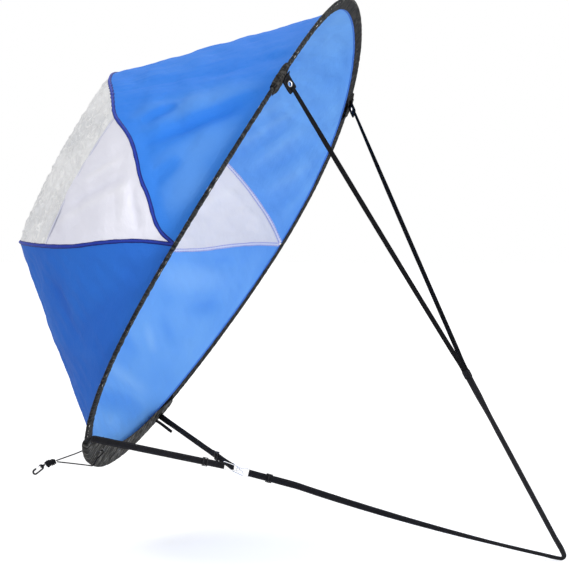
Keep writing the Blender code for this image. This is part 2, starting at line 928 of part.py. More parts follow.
def make_branch(label, sign):
    """One branch of the upper bridle: sewn to the tab's face, straight to the fork patch."""
    theta, out, start, corner, pull, width = lug_frame(sign)
    points, bend_end, leave = tab_path(sign)
    tab_side = unit(width - (width @ leave) * leave)
    face = np.cross(leave, tab_side)
    face = face * np.sign(face @ -out_back)
    lift = face * (tab_thickness / 2 + gap + branch_thickness / 2)
    first = points[-1] - leave * branch_overlap + lift
    sewn_end = points[-1] + lift
    fork, down, square = fork_frame()
    shift = sign * (across * fork_stack_step + square * branch_spread)
    mouth = fork + shift - down * fork_patch_length * 0.4
    inside = fork + shift + down * fork_patch_length * 0.45
    straight = mouth - sewn_end
    t = np.linspace(0, 1, 13)[:, None]
    drop = np.array([0.0, 0.0, -1.0]) * branch_sag * 4 * t * (1 - t)
    run = sewn_end + t * straight + drop
    path = np.vstack([first[None], run, inside[None]])
    turn = np.clip((np.arange(len(path)) - 1) / (len(path) - 2), 0, 1)[:, None]
    fork_side = square * np.sign(square @ tab_side)
    side = (1 - turn) * tab_side + turn * fork_side
    return strip(
        f"{label}_bridle_branch", path, side, branch_width, branch_thickness, black_webbing()
    )


def run_points():
    """Middle line of the control strap: fork, upper run, rounded turn and sagging lower run."""
    fork, down, square = fork_frame()
    base, tail_dir = main_strap_frame()
    tail_end = base + tail_dir * run_tail_length
    turn = np.array([turn_x, 0.0, turn_z])
    back = unit(tail_end - turn)
    half_angle = math.acos(float(np.clip(-down @ back, -1, 1))) / 2
    inward = unit(back - down)
    centre = turn + inward * turn_radius
    spread = np.cross(across, inward)
    spread = spread * np.sign(spread @ down)
    ahead = arc_points(
        centre, -inward, spread, turn_radius, math.pi / 2 - half_angle, half_angle - math.pi / 2, 9
    )
    if (ahead[0] - fork) @ (ahead[0] - fork) > (ahead[-1] - fork) @ (ahead[-1] - fork):
        ahead = ahead[::-1]
    start = fork - down * fork_patch_length * fork_start_share
    leave = fork + down * fork_patch_length * fork_leave_share
    upper = leave + np.linspace(0, 1, 11)[:-1, None] * (ahead[0] - leave)
    upper = np.vstack([start[None], upper])
    t = np.linspace(0, 1, 15)[1:, None]
    lower = ahead[-1] + t * (tail_end - ahead[-1])
    lower[:, 2] -= (run_sag * 4 * t * (1 - t))[:, 0]
    return upper, ahead, lower


def main_strap_frame():
    """Place of the main ring's base bar, and the direction from it along the control strap."""
    joint = np.array([ring_joint_x, 0.0, ring_joint_z])
    turn = np.array([turn_x, 0.0, turn_z])
    along = unit(turn - joint)
    base = joint + along * (control_ring_length - main_link_reach)
    return base, along


def hairpin(base, along, side, tail_length, end_points):
    """A strap's end: from its own line, round the ring's base bar and back on itself to its tail.

    The two layers part from layer_gap to the bar's width over the taper.
    """
    square = np.cross(along, side)
    tight = layer_gap / 2 + webbing_thickness / 2
    wide = ring_wire / 2 + gap + webbing_thickness / 2
    steps = [run_share * loop_taper_length for run_share in (1.0, 0.5)]
    offsets = [tight, (tight + wide) / 2]
    under = [base + along * s - square * o for s, o in zip(steps, offsets)]
    turn = arc_points(base, -square, -along, wide, 0.0, math.pi, 9)
    over = [base + along * s + square * o for s, o in zip(steps[::-1], offsets[::-1])]
    tail = base + along * tail_length + square * tight
    return np.vstack([end_points, under, turn, over, tail[None]])


def strap_twist(upper, turn, lower, rest):
    """Twist of the control strap at each of its points, in degrees out of the middle plane.

    It turns over the first share of the upper run, keeps its twist round the turn and loses it
    again along the lower run, where it comes to lie as the adjuster holds it.
    """
    up = np.interp(np.linspace(0, 1, upper), [0.1, upper_twist_share], [0.0, 1.0])
    down = np.interp(np.linspace(0, 1, lower), [lower_twist_share, 1.0 - 1.0 / lower], [1.0, 0.0])
    return run_twist_deg * np.concatenate([up, np.ones(turn), down, np.zeros(rest)])


def make_control_strap():
    """One strap from the fork round the turn to the adjuster and the main ring, and back on itself."""
    base, along = main_strap_frame()
    square = np.cross(along, across)
    upper, turn, lower = run_points()
    layer_lift = layer_gap / 2 + webbing_thickness / 2
    face = np.cross(along, square)
    lower = lower - face * layer_lift * np.linspace(0, 1, len(lower))[:, None]
    front = np.vstack([upper, turn, lower])
    path = hairpin(base, along, square, run_tail_length, front)
    rest = len(path) - len(front)
    twist = np.radians(strap_twist(len(upper), len(turn), len(lower), rest))[:, None]
    fork, down, fork_square = fork_frame()
    heading = np.concatenate(
        [
            np.tile(fork_square, (len(upper), 1)),
            unit(np.cross(unit(np.gradient(turn, axis=0)), across)),
            unit(np.cross(unit(np.gradient(lower, axis=0)), across)),
            np.tile(-square, (rest, 1)),
        ]
    )
    side = np.cos(twist) * heading + np.sin(twist) * across
    return strip(
        "control_strap", path, side, webbing_width, webbing_thickness, black_webbing()
    )


def make_fork_patch():
    """The sewn sleeve of webbing that holds both branches and the control strap at the fork."""
    fork, down, square = fork_frame()
    stack = fork_stack_step + branch_thickness / 2 + gap
    half_t = stack + fork_patch_wall
    half_w = webbing_width / 2 + gap + fork_patch_wall
    inner_t, inner_w = stack, webbing_width / 2 + gap
    bm = bmesh.new()
    outside, inside = [], []
    for s in (-0.25, 0.5):
        centre = fork + down * s * fork_patch_length
        for rows, w, t in ((outside, half_w, half_t), (inside, inner_w, inner_t)):
            rows.append(
                [
                    bm.verts.new(centre + a * w * square + b * t * across)
                    for a, b in ((-1, -1), (1, -1), (1, 1), (-1, 1))
                ]
            )
    join_tube_walls(bm, outside, inside)
    return add_object("fork_patch", bm, black_webbing())


def leg_frame(sign):
    """Ring base, direction to the anchor, width direction and anchor point of a lower leg."""
    joint = np.array([ring_joint_x, 0.0, ring_joint_z])
    along_main = main_strap_frame()[1]
    upright = np.cross(along_main, across)
    upright = upright * np.sign(upright[2])
    if sign < 0:
        crossing = joint + upright * near_link_rise
    else:
        crossing = joint + along_main * far_link_step - upright * far_link_drop
    theta = sign * (math.pi - math.radians(anchor_angle_deg))
    face_offset = -(sleeve_thickness / 2 + patch_wrap + 2 * gap + webbing_thickness / 2)
    anchor = hoop_point(theta, sleeve_middle, face_offset)
    to_anchor = unit(anchor - crossing)
    base = crossing + to_anchor * (leg_ring_length - ring_link_reach)
    side = unit(np.array([0.0, 0.0, 1.0]) - to_anchor[2] * to_anchor)
    return base, to_anchor, side, anchor, theta


def leg_slider_place(sign):
    """Distance of a lower leg's adjuster from its ring's base bar."""
    return near_slider_place if sign < 0 else far_slider_place


def make_leg(label, sign):
    """A lower leg: sewn flat on the base patch, straight to its adjuster and ring, and back."""
    base, along, side, anchor, theta = leg_frame(sign)
    out = radial(theta)
    tight = layer_gap / 2 + webbing_thickness / 2
    square = np.cross(along, side)
    tail_length = leg_slider_place(sign) + leg_tail_past_slider
    line_end = base + along * tail_length - square * tight
    lift_off = anchor + (base - anchor) * leg_lift_share
    sewn = unit(out_back * ((base - anchor) @ out_back) * -1 + (base - anchor))
    sewn_start = anchor - sewn * anchor_overlap
    t = np.linspace(0, 1, 5)[:, None]
    run = lift_off - square * tight + t * (line_end - (lift_off - square * tight))
    front = np.vstack([sewn_start[None], anchor[None], run])
    path = hairpin(base, along, side, tail_length, front)
    flat_side = unit(np.cross(out_back, sewn))
    flat_side = flat_side * np.sign(flat_side @ side)
    sides = np.tile(side, (len(path), 1))
    sides[0] = flat_side
    sides[1] = flat_side
    sides[2] = unit(flat_side + side)
    return strip(
        f"{label}_leg_strap", path, sides, webbing_width, webbing_thickness, black_webbing()
    )


def make_ring(label, base, to_tip, side, length):
    """A wire ring: a wide base bar in the webbing loop, narrowing to a short tip bar."""
    corners = [
        base - side * ring_base_half_width,
        base + side * ring_base_half_width,
        base + to_tip * length + side * ring_tip_half_width,
        base + to_tip * length - side * ring_tip_half_width,
    ]
    path = []
    for k, corner in enumerate(corners):
        before = unit(corners[k - 1] - corner)
        after = unit(corners[(k + 1) % 4] - corner)
        a, b = corner + before * ring_corner, corner + after * ring_corner
        path.append(a)
        path.append(corner + (a + b - 2 * corner) * ring_corner_share)
        path.append(b)
    bm = bmesh.new()
    normal = np.cross(to_tip, side)
    round_tube(bm, path, normal, ring_wire / 2, 6, closed=True)
    return add_object(f"{label}_ring", bm, bright_metal())


def make_slider(label, centre, along, side):
    """A tri-glide: a frame whose end bars pass under the webbing and whose middle bar passes over."""
    square = np.cross(along, side)
    stack = layer_gap / 2 + webbing_thickness + slider_clearance
    inner_w = webbing_width / 2 + slider_clearance
    half_w = inner_w + slider_rail
    bar_t = slider_bar_thickness
    half_h = stack + bar_t
    half_l = slider_length / 2
    bar = slider_bar / 2
    # Side view of a rail, as shares of its half length and half height, eased at its ends
    rail_shares = ((-1, -1), (1, -1), (1, -0.2), (0.45, 1), (-0.45, 1), (-1, -0.2))
    parts = bmesh.new()

    def prism(outline, low, high):
        rings = [
            [centre + s * along + h * square + w * side for s, h in outline] for w in (low, high)
        ]
        grid_solid(parts, rings)

    rail = [(half_l * a, half_h * b) for a, b in rail_shares]
    prism(rail, -half_w, -inner_w)
    prism(rail, inner_w, half_w)
    frame = add_object(f"{label}_slider", parts, black_plastic())
    bars = bmesh.new()
    lap = slider_rail / 2

    def bar_prism(outline):
        rings = [
            [centre + s * along + h * square + w * side for s, h in outline]
            for w in (-inner_w - lap, inner_w + lap)
        ]
        grid_solid(bars, rings)

    cut_c = bar_t / 4
    for middle in (-half_l + bar + cut_c, half_l - bar - cut_c):
        bar_prism(
            [
                (middle - bar, -half_h + cut_c),
                (middle - bar + cut_c, -half_h + cut_c / 2),
                (middle + bar - cut_c, -half_h + cut_c / 2),
                (middle + bar, -half_h + cut_c),
                (middle + bar, -stack),
                (middle - bar, -stack),
            ]
        )
    bar_prism(
        [
            (-bar, stack),
            (bar, stack),
            (bar, half_h - cut_c),
            (bar - cut_c, half_h - cut_c / 2),
            (-bar + cut_c, half_h - cut_c / 2),
            (-bar, half_h - cut_c),
        ]
    )
    helper = hidden_cutter(f"{label}_slider_bars", bars)
    join = frame.modifiers.new("Bars", "BOOLEAN")
    join.operation = "UNION"
    join.object = helper
    return frame


def make_adjusters():
    """Sliders and wire rings on the two lower legs and on the control strap."""
    for label, sign in (("near", -1), ("far", 1)):
        base, along, side, anchor, theta = leg_frame(sign)
        make_ring(f"{label}_leg", base, -along, side, leg_ring_length)
        make_slider(f"{label}_leg", base + along * leg_slider_place(sign), along, side)
    base, along = main_strap_frame()
    side = np.cross(along, across)
    make_ring("control", base, -along, side, control_ring_length)
    make_slider("control", base + along * run_slider_place, along, side)


def hook_frame():
    """Centre of the hook, its long direction, its short direction and its thickness direction."""
    knot = np.array([knot_x, knot_y, knot_z])
    level = unit(knot - eyelet_place(math.pi - math.radians(near_eyelet_angle_deg)))
    tilt = math.radians(hook_tilt_deg)
    long = unit(math.cos(tilt) * level + math.sin(tilt) * np.array([0.0, 0.0, 1.0]))
    thick = unit(np.cross(long, np.array([0.0, 0.0, 1.0])))
    short = np.cross(thick, long)
    eye = knot + level * knot_length / 2 + long * (end_loop_radius + tether_diameter / 2 + gap)
    arc = (hook_width - hook_wire) / 2
    straight = hook_length / 2 - hook_wire / 2 - arc
    centre = eye + long * (straight + arc)
    return centre, long, short, thick, eye, level


def make_hook():
    """The snap hook: a round bar bent to a C, and the sprung wire gate that closes it."""
    centre, long, short, thick, eye, level = hook_frame()
    arc = (hook_width - hook_wire) / 2
    straight = hook_length / 2 - hook_wire / 2 - arc
    gate_side = 1
    pivot_x = -straight
    nose_x = pivot_x + hook_mouth
    rear = arc_points(centre - long * straight, -short * -gate_side, -long, arc, 0, math.pi, 9)
    front = arc_points(centre + long * straight, -short * gate_side, long, arc, 0, math.pi, 9)
    nose = centre + long * nose_x + short * gate_side * arc
    pivot_end = centre + long * (pivot_x + hook_wire / 2) + short * gate_side * arc
    path = np.vstack([pivot_end[None], rear, front, nose[None]])
    bm = bmesh.new()
    round_tube(bm, path, thick, hook_wire / 2, 8)
    body = add_object("hook_body", bm, black_plastic())
    pivot = centre + long * pivot_x + short * gate_side * arc
    hole = bmesh.new()
    straight_post(
        hole, pivot, thick, long, gate_wire / 2 + gap, hook_wire + 2 * overrun, 8
    )
    cut(body, hidden_cutter("hook_pivot_cutter", hole))
    tip = nose - long * (gate_tip_gap + gate_wire / 2)
    corners = [
        pivot - thick * gate_spread / 2,
        pivot + thick * gate_spread / 2,
        tip + thick * gate_tip_spread / 2,
        tip - thick * gate_tip_spread / 2,
    ]
    gate_path = []
    for k, corner in enumerate(corners):
        before = unit(corners[k - 1] - corner)
        after = unit(corners[(k + 1) % 4] - corner)
        gate_path.append(corner + before * gate_wire / 2)
        gate_path.append(corner + after * gate_wire / 2)
    gate = bmesh.new()
    round_tube(gate, gate_path, short, gate_wire / 2, 6, closed=True)
    gate_object = add_object("hook_gate", gate, bright_metal())
    return body, gate_object


def make_end_loop():
    """The short loop of cord that comes out of the knot and holds the hook."""
    centre, long, short, thick, eye, level = hook_frame()
    turns = np.linspace(0, 2 * math.pi, 13)[:-1, None]
    path = eye + end_loop_radius * (np.cos(turns) * -long + np.sin(turns) * thick)
    bm = bmesh.new()
    round_tube(bm, path, short, tether_diameter / 2, 6, closed=True)
    return add_object("tether_end_loop", bm, black_webbing())


def make_knot():
    """The tether's knot: a fat lump with a waist, turned about the cord's direction."""
    centre, long, short, thick, eye, level = hook_frame()
    knot = np.array([knot_x, knot_y, knot_z])
    side = thick
    square = np.cross(level, side)
    shares = ((0.0, 0.35), (0.12, 0.85), (0.3, 1.0), (0.5, knot_waist_share), (0.7, 0.95),
              (0.88, 0.7), (1.0, 0.3))
    rings = []
    for along_share, radius_share in shares:
        middle = knot + level * knot_length * (along_share - 0.5)
        radius = radius_share * knot_diameter / 2
        rings.append(
            [
                middle + radius * (math.cos(a) * side + math.sin(a) * square)
                for a in np.linspace(0, 2 * math.pi, 11)[:-1]
            ]
        )
    bm = bmesh.new()
    grid_solid(bm, rings)
    return add_object("tether_knot", bm, black_webbing())


def smooth_route(points, step):
    """Points at even steps along a smooth curve through the route's own points."""
    points = np.asarray(points, float)
    padded = np.vstack([2 * points[0] - points[1], points, 2 * points[-1] - points[-2]])
    curve = []
    for i in range(1, len(padded) - 2):
        a, b, c, d = padded[i - 1 : i + 3]
        for t in np.linspace(0, 1, 24, endpoint=False):
            curve.append(
                0.5
                * (
                    2 * b
                    + (c - a) * t
                    + (2 * a - 5 * b + 4 * c - d) * t**2
                    + (3 * b - a - 3 * c + d) * t**3
                )
            )
    curve = np.array(curve + [points[-1]])
    lengths = np.concatenate([[0], np.cumsum(np.linalg.norm(np.diff(curve, axis=0), axis=1))])
    count = max(int(round(lengths[-1] / step)), 3)
    even = np.linspace(0, lengths[-1], count + 1)
    return np.stack([np.interp(even, lengths, curve[:, k]) for k in range(3)], axis=1)


def make_cord(name, route):
    """A free cord: a curve with a round bevel and filled ends."""
    points = smooth_route(route, 2 * tether_diameter)
    data = bpy.data.curves.new(name, "CURVE")
    data.dimensions = "3D"
    data.bevel_depth = tether_diameter / 2
    data.bevel_resolution = 2
    data.use_fill_caps = True
    spline = data.splines.new("POLY")
    spline.points.add(len(points) - 1)
    for target, point in zip(spline.points, points):
        target.co = (*point, 1.0)
    data.materials.append(black_webbing())
    made = bpy.data.objects.new(name, data)
    bpy.context.scene.collection.objects.link(made)
    return made


def make_tether():
    """The tether: from the knot over the sleeve's back, through the cloth and the near eyelet, and
    back under the sleeve to the knot. Then the knot, its end loop and the hook.
    """
    knot = np.array([knot_x, knot_y, knot_z])
    centre, long, short, thick, eye, level = hook_frame()
    behind = knot - level * (knot_length / 2 + 5 * gap)
    reach = tether_diameter / 2 + gap
    theta = math.pi - math.radians(near_eyelet_angle_deg)
    hole = eyelet_place(theta)
    cloth_hole, cloth_axis, inward = cord_hole_place()
    lay = sleeve_thickness / 2 + patch_wrap + gap + tether_diameter / 2
    upper_end = behind + short * reach
    lower_end = behind - short * reach
    over = hoop_point(theta, hoop_radius - sleeve_width, lay + tether_diameter)
    route = [
        upper_end,
        over + (upper_end - over) / 2,
        over,
        cloth_hole,
        hole,
        hole - out_back * 2 * tether_diameter,
        hoop_point(theta, sleeve_middle, -lay - tether_diameter / 2),
        hoop_point(theta, hoop_radius + tether_diameter, -lay),
        hoop_point(theta, hoop_radius + 2 * tether_diameter, -lay / 3),
        hoop_point(theta, hoop_radius + 4 * tether_diameter, lay),
        lower_end,
    ]
    make_cord("tether_cord", route)
    make_knot()
    make_end_loop()
    make_hook()


def make_pull_loop():
    """A small loop of tape at the far end of the base patch, sewn on at both its ends.

    Both ends leave the patch square to its face, and the loop then droops a little.
    """
    theta = math.pi - math.radians(pull_loop_angle_deg)
    face = -out_back
    root = hoop_point(theta, sleeve_middle, -(sleeve_thickness / 2 + patch_wrap + gap))
    hang = unit(face - pull_loop_drop_share * np.array([0.0, 0.0, 1.0]))
    side = unit(np.cross(hang, across))
    square = np.cross(hang, side)
    lift = pull_loop_inner / 2 + pull_loop_cloth / 2
    bend = root + face * pull_loop_root
    tip = bend + hang * (pull_loop_length - pull_loop_root - lift)
    turn = arc_points(tip, square, hang, lift, 0.0, math.pi, 7)
    layer = across * lift * np.sign(square @ across)
    path = np.vstack([[root + layer, bend + layer], turn, [bend - layer, root - layer]])
    return strip(
        "far_pull_loop", path, side, pull_loop_width, pull_loop_cloth, black_webbing()
    )


def main():
    clear_scene()
    make_hoop_rod()
    make_hoop_ferrule()
    make_hoop_sleeve()
    make_canopy()
    make_seam_tapes()
    make_base()
    for label, sign in (("near", -1), ("far", 1)):
        make_lug(label, sign)
        make_branch(label, sign)
        make_leg(label, sign)
    make_control_strap()
    make_fork_patch()
    make_adjusters()
    make_tether()
    make_pull_loop()


main()
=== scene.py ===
"""Round pop-up downwind sail for a canoe or kayak, dressed for the photograph.

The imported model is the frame, in metres: X towards the paddler, Y across the boat, Z up. The sections
follow the sail as it is sewn and rigged, after the camera and the tether cord.
"""

import math

import bmesh
import bpy
import numpy as np
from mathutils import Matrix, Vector


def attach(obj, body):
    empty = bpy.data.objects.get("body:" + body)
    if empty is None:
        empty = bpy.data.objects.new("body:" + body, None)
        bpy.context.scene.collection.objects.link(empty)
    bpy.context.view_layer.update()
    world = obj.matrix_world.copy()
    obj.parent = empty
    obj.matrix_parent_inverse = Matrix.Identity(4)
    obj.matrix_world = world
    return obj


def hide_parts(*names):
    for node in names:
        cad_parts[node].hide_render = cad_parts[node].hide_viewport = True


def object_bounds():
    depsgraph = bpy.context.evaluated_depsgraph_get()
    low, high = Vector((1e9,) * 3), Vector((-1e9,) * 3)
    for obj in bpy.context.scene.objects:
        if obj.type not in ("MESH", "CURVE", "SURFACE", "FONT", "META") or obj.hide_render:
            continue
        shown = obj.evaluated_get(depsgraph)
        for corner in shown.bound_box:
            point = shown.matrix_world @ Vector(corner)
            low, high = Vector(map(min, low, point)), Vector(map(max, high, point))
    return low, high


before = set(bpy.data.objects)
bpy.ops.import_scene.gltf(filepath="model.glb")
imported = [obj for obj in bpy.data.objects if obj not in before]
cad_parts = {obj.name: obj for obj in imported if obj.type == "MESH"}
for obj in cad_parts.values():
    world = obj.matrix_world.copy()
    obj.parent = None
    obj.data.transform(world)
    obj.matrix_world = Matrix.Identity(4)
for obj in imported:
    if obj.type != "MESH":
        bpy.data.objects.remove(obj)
cad_low, cad_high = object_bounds()

# ------------------------------
# Camera: a long lens some four and a half metres off the sail's near side, a little above the
# lug height and turned a few degrees, as the photograph was taken.


def new_object(name, data):
    """A new object at the scene's origin."""
    made = bpy.data.objects.new(name, data)
    bpy.context.scene.collection.objects.link(made)
    return made


camera_data = bpy.data.cameras.new("photo_camera")
camera_data.sensor_fit = "HORIZONTAL"
camera_data.sensor_width = 36.0
camera_data.lens = 137.93
camera_data.clip_end = 100.0
camera = new_object("photo_camera", camera_data)
camera.location = (1.18116, -4.35828, 0.45936)
camera.rotation_euler = (math.radians(90 - 1.2), 0.0, math.radians(10.4))
bpy.context.scene.camera = camera
bpy.context.scene.view_settings.view_transform = "Standard"

# ------------------------------
# Tether: 2.5 mm black braided cord, doubled. It leaves the knot, passes over the sleeve's back,
# through the cloth and the near eyelet, and returns under the sleeve to the same knot.
cord_diameter = 0.0025
cord_sides = 14
cord_stops = [
    (-0.04646, -0.18382, 0.02550),
    (-0.01632, -0.16053, 0.03652),
    (0.01382, -0.13723, 0.04753),
    (0.02176, -0.13693, 0.04866),
    (0.03186, -0.13562, 0.04397),
    (0.03621, -0.13562, 0.04151),
    (0.02533, -0.14097, 0.02552),
    (0.01641, -0.14538, 0.01230),
    (0.01026, -0.14605, 0.01301),
    (-0.00203, -0.14738, 0.01443),
    (-0.04490, -0.18286, 0.02300),
]


def unit(vectors):
    """Each vector divided by its own length."""
    return vectors / np.linalg.norm(vectors, axis=-1, keepdims=True)


def smooth_line(stops, step):
    """Points about a step apart on the curve through the stops.

    Between two stops runs the cubic whose slope at each is that of the parabola through the stop
    and its two neighbours. Columns after the third, such as a side direction, are carried along.
    """
    stops = np.asarray(stops, float)
    chord = np.linalg.norm(np.diff(stops[:, :3], axis=0), axis=1)
    rate = np.diff(stops, axis=0) / chord[:, None]
    both = (rate[1:] * chord[:-1, None] + rate[:-1] * chord[1:, None]) / (chord[1:] + chord[:-1])[:, None]
    slope = np.vstack([rate[:1], both, rate[-1:]])
    cuts = np.maximum(1, np.ceil(chord / step)).astype(int)
    piece = np.repeat(np.arange(len(chord)), cuts)
    first = np.concatenate([[0], np.cumsum(cuts)[:-1]])
    t = ((np.arange(cuts.sum()) - first[piece]) / cuts[piece])[:, None]
    h = chord[piece][:, None]
    line = (
        (1 + 2 * t) * (1 - t) ** 2 * stops[piece]
        + t * (1 - t) ** 2 * h * slope[piece]
        + t**2 * (3 - 2 * t) * stops[piece + 1]
        + t**2 * (t - 1) * h * slope[piece + 1]
    )
    return np.vstack([line, stops[-1:]])


def sides_along(points, side, closed=False):
    """Tangent, side and face direction at each point of a path, square to one another.

    The tangent halves the angle of the two chords that meet there. The side is the wished one less
    its part along the tangent, and the face is their cross product.
    """
    chords = unit(np.roll(points, -1, axis=0) - points)
    before = np.roll(chords, 1, axis=0)
    if not closed:
        chords[-1] = chords[-2]
        before[0] = chords[0]
    tangent = unit(chords + before)
    side = np.broadcast_to(np.asarray(side, float), points.shape)
    side = unit(side - (side * tangent).sum(axis=1, keepdims=True) * tangent)
    return tangent, side, np.cross(tangent, side)


def carried(points, side, section, closed=False):
    """Grid of points: the section, given as (along side, along face) pairs, carried down the path.

    Each grid point is the path's point plus the section's two numbers times side and face. The
    section may change along the path, as an array of one section for each of its points.
    """
    _, side, face = sides_along(points, side, closed)
    section = np.broadcast_to(section, (len(points),) + np.shape(section)[-2:])
    return (
        points[:, None, :]
        + section[..., :1] * side[:, None, :]
        + section[..., 1:] * face[:, None, :]
    )


def path_length(points, closed=False):
    """Distance from the path's start to each of its points, and round to the start if it is closed."""
    ends = np.vstack([points, points[:1]]) if closed else points
    return np.concatenate([[0.0], np.cumsum(np.linalg.norm(np.diff(ends, axis=0), axis=1))])


def uv_grid(along, over):
    """uv of a grid: each row's distance along the piece and each column's distance over it."""
    return np.stack(np.broadcast_arrays(along[:, None], over[None, :]), axis=-1)


def settle(mesh, sharp):
    """Turns a mesh's faces outwards and shades it smooth, but for edges of more than sharp degrees."""
    shell = bmesh.new()
    shell.from_mesh(mesh)
    bmesh.ops.recalc_face_normals(shell, faces=shell.faces)
    shell.to_mesh(mesh)
    shell.free()
    mesh.shade_smooth()
    mesh.set_sharp_from_angle(angle=math.radians(sharp))


def skin(name, grid, uv, look, along=False):
    """A mesh from a grid of points: neighbours in it make a face, and its open ends are closed.

    The last column joins the first, and along joins the last row to the first as well. The uv grid
    has one more column or row in that direction, so that a pattern runs on over the join.
    """
    rows, columns = grid.shape[:2]
    i = np.arange(rows if along else rows - 1)[:, None]
    j = np.arange(columns)[None, :]
    steps = ((0, 0), (0, 1), (1, 1), (1, 0))
    faces = np.stack([(i + a) % rows * columns + (j + b) % columns for a, b in steps], axis=-1)
    places = np.stack([uv[i + a, j + b] for a, b in steps], axis=2)
    faces = faces.reshape(-1, 4).tolist()
    places = places.reshape(-1, 2)
    if not along:
        ring = np.arange(columns)
        faces += [ring[::-1].tolist(), (ring + (rows - 1) * columns).tolist()]
        places = np.vstack([places, uv[0, :columns][::-1], uv[-1, :columns]])
    mesh = bpy.data.meshes.new(name)
    mesh.from_pydata(grid.reshape(-1, 3).tolist(), [], faces)
    layer = mesh.uv_layers.new(name="metres")
    layer.data.foreach_set("uv", places.astype(np.float32).ravel())
    settle(mesh, 50)
    mesh.materials.append(look)
    return new_object(name, mesh)


def round_bar(name, points, side, radius, look, sides=cord_sides, closed=False, ease=0.0):
    """A round bar along a path, its mesh's uv in metres along it and round it.

    radius is one number or one for each point. With ease, the ends are rounded off over that length.
    """
    turns = np.arange(sides) * 2 * math.pi / sides
    place = path_length(points, closed)
    size = np.broadcast_to(np.asarray(radius, float), len(points)).copy()
    if ease:
        near_end = np.minimum(place, place[-1] - place) / ease
        size *= np.sqrt(1 - (1 - np.clip(near_end, 0.1, 1)) ** 2)
    ring = np.stack([np.cos(turns), np.sin(turns)], axis=1)
    grid = carried(points, side, size[:, None, None] * ring, closed)
    round_it = np.arange(sides + 1) / sides * 2 * math.pi * float(np.mean(radius))
    return skin(name, grid, uv_grid(place, round_it), look, closed)


def new_look(name, roughness, metallic=0.0):
    """A material with one Principled shader, its fixed roughness and metal set on the shader itself."""
    look = bpy.data.materials.new(name)
    look.use_nodes = True
    shader = look.node_tree.nodes["Principled BSDF"]
    shader.inputs["Roughness"].default_value = roughness
    shader.inputs["Metallic"].default_value = metallic
    return look, look.node_tree, shader


def new_group(name, inputs, outputs):
    """An empty node group with named sockets, and its input and output nodes."""
    group = bpy.data.node_groups.new(name, "ShaderNodeTree")
    for label, kind, value in inputs:
        socket = group.interface.new_socket(label, in_out="INPUT", socket_type=kind)
        if value is not None:
            socket.default_value = value
    for label, kind in outputs:
        group.interface.new_socket(label, in_out="OUTPUT", socket_type=kind)
    return group, group.nodes.new("NodeGroupInput"), group.nodes.new("NodeGroupOutput")


def feed(tree, socket, value):
    """Links an input to a socket, or sets it to a number or to a colour of three parts."""
    if isinstance(value, bpy.types.NodeSocket):
        tree.links.new(value, socket)
    elif value is not None:
        socket.default_value = (*value, 1.0) if isinstance(value, tuple) else value


def sum_node(tree, kind, first, second=None, third=None):
    """A Math node of this kind, its inputs linked to sockets or set to numbers."""
    node = tree.nodes.new("ShaderNodeMath")
    node.operation = kind
    for slot, value in enumerate((first, second, third)):
        feed(tree, node.inputs[slot], value)
    return node.outputs[0]


def blend_node(tree, share, first, second):
    """A colour mix of two colours or sockets by a share."""
    node = tree.nodes.new("ShaderNodeMix")
    node.data_type = "RGBA"
    for slot, value in ((0, share), (6, first), (7, second)):
        feed(tree, node.inputs[slot], value)
    return node.outputs[2]


def range_node(tree, value, low, high, to_low=0.0, to_high=1.0):
    """A smooth map of a value from one range to another."""
    node = tree.nodes.new("ShaderNodeMapRange")
    node.interpolation_type = "SMOOTHSTEP"
    tree.links.new(value, node.inputs[0])
    for slot, number in enumerate((low, high, to_low, to_high), start=1):
        node.inputs[slot].default_value = number
    return node.outputs[0]


def noise_node(tree, vector, scale, detail=2.0, rough=0.5):
    """A noise value from 0 to 1 at this many cells a metre."""
    node = tree.nodes.new("ShaderNodeTexNoise")
    tree.links.new(vector, node.inputs["Vector"])
    node.inputs["Scale"].default_value = scale
    node.inputs["Detail"].default_value = detail
    node.inputs["Roughness"].default_value = rough
    return node.outputs[0]


def group_node(tree, group, **given):
    """The outputs of one use of a node group, its named inputs linked to sockets or set to numbers."""
    node = tree.nodes.new("ShaderNodeGroup")
    node.node_tree = group
    for label, value in given.items():
        feed(tree, node.inputs[label], value)
    return node.outputs


def object_place(tree):
    """Where the shaded point is in the piece's own frame, in metres."""
    return tree.nodes.new("ShaderNodeTexCoord").outputs["Object"]


def dress_shader(tree, shader, colour, height, depth, specular=0.5):
    """Feeds a colour and a bump from a height of 0 to 1, this many metres deep, to a shader."""
    tree.links.new(colour, shader.inputs["Base Color"])
    bump = tree.nodes.new("ShaderNodeBump")
    bump.inputs["Distance"].default_value = depth
    tree.links.new(height, bump.inputs["Height"])
    tree.links.new(bump.outputs[0], shader.inputs["Normal"])
    shader.inputs["Specular IOR Level"].default_value = specular


def uv_parts(tree):
    """The piece's own uv, in metres, and its two parts."""
    place = tree.nodes.new("ShaderNodeUVMap")
    place.uv_map = "metres"
    parts = tree.nodes.new("ShaderNodeSeparateXYZ")
    tree.links.new(place.outputs[0], parts.inputs[0])
    return place.outputs[0], parts.outputs[0], parts.outputs[1]


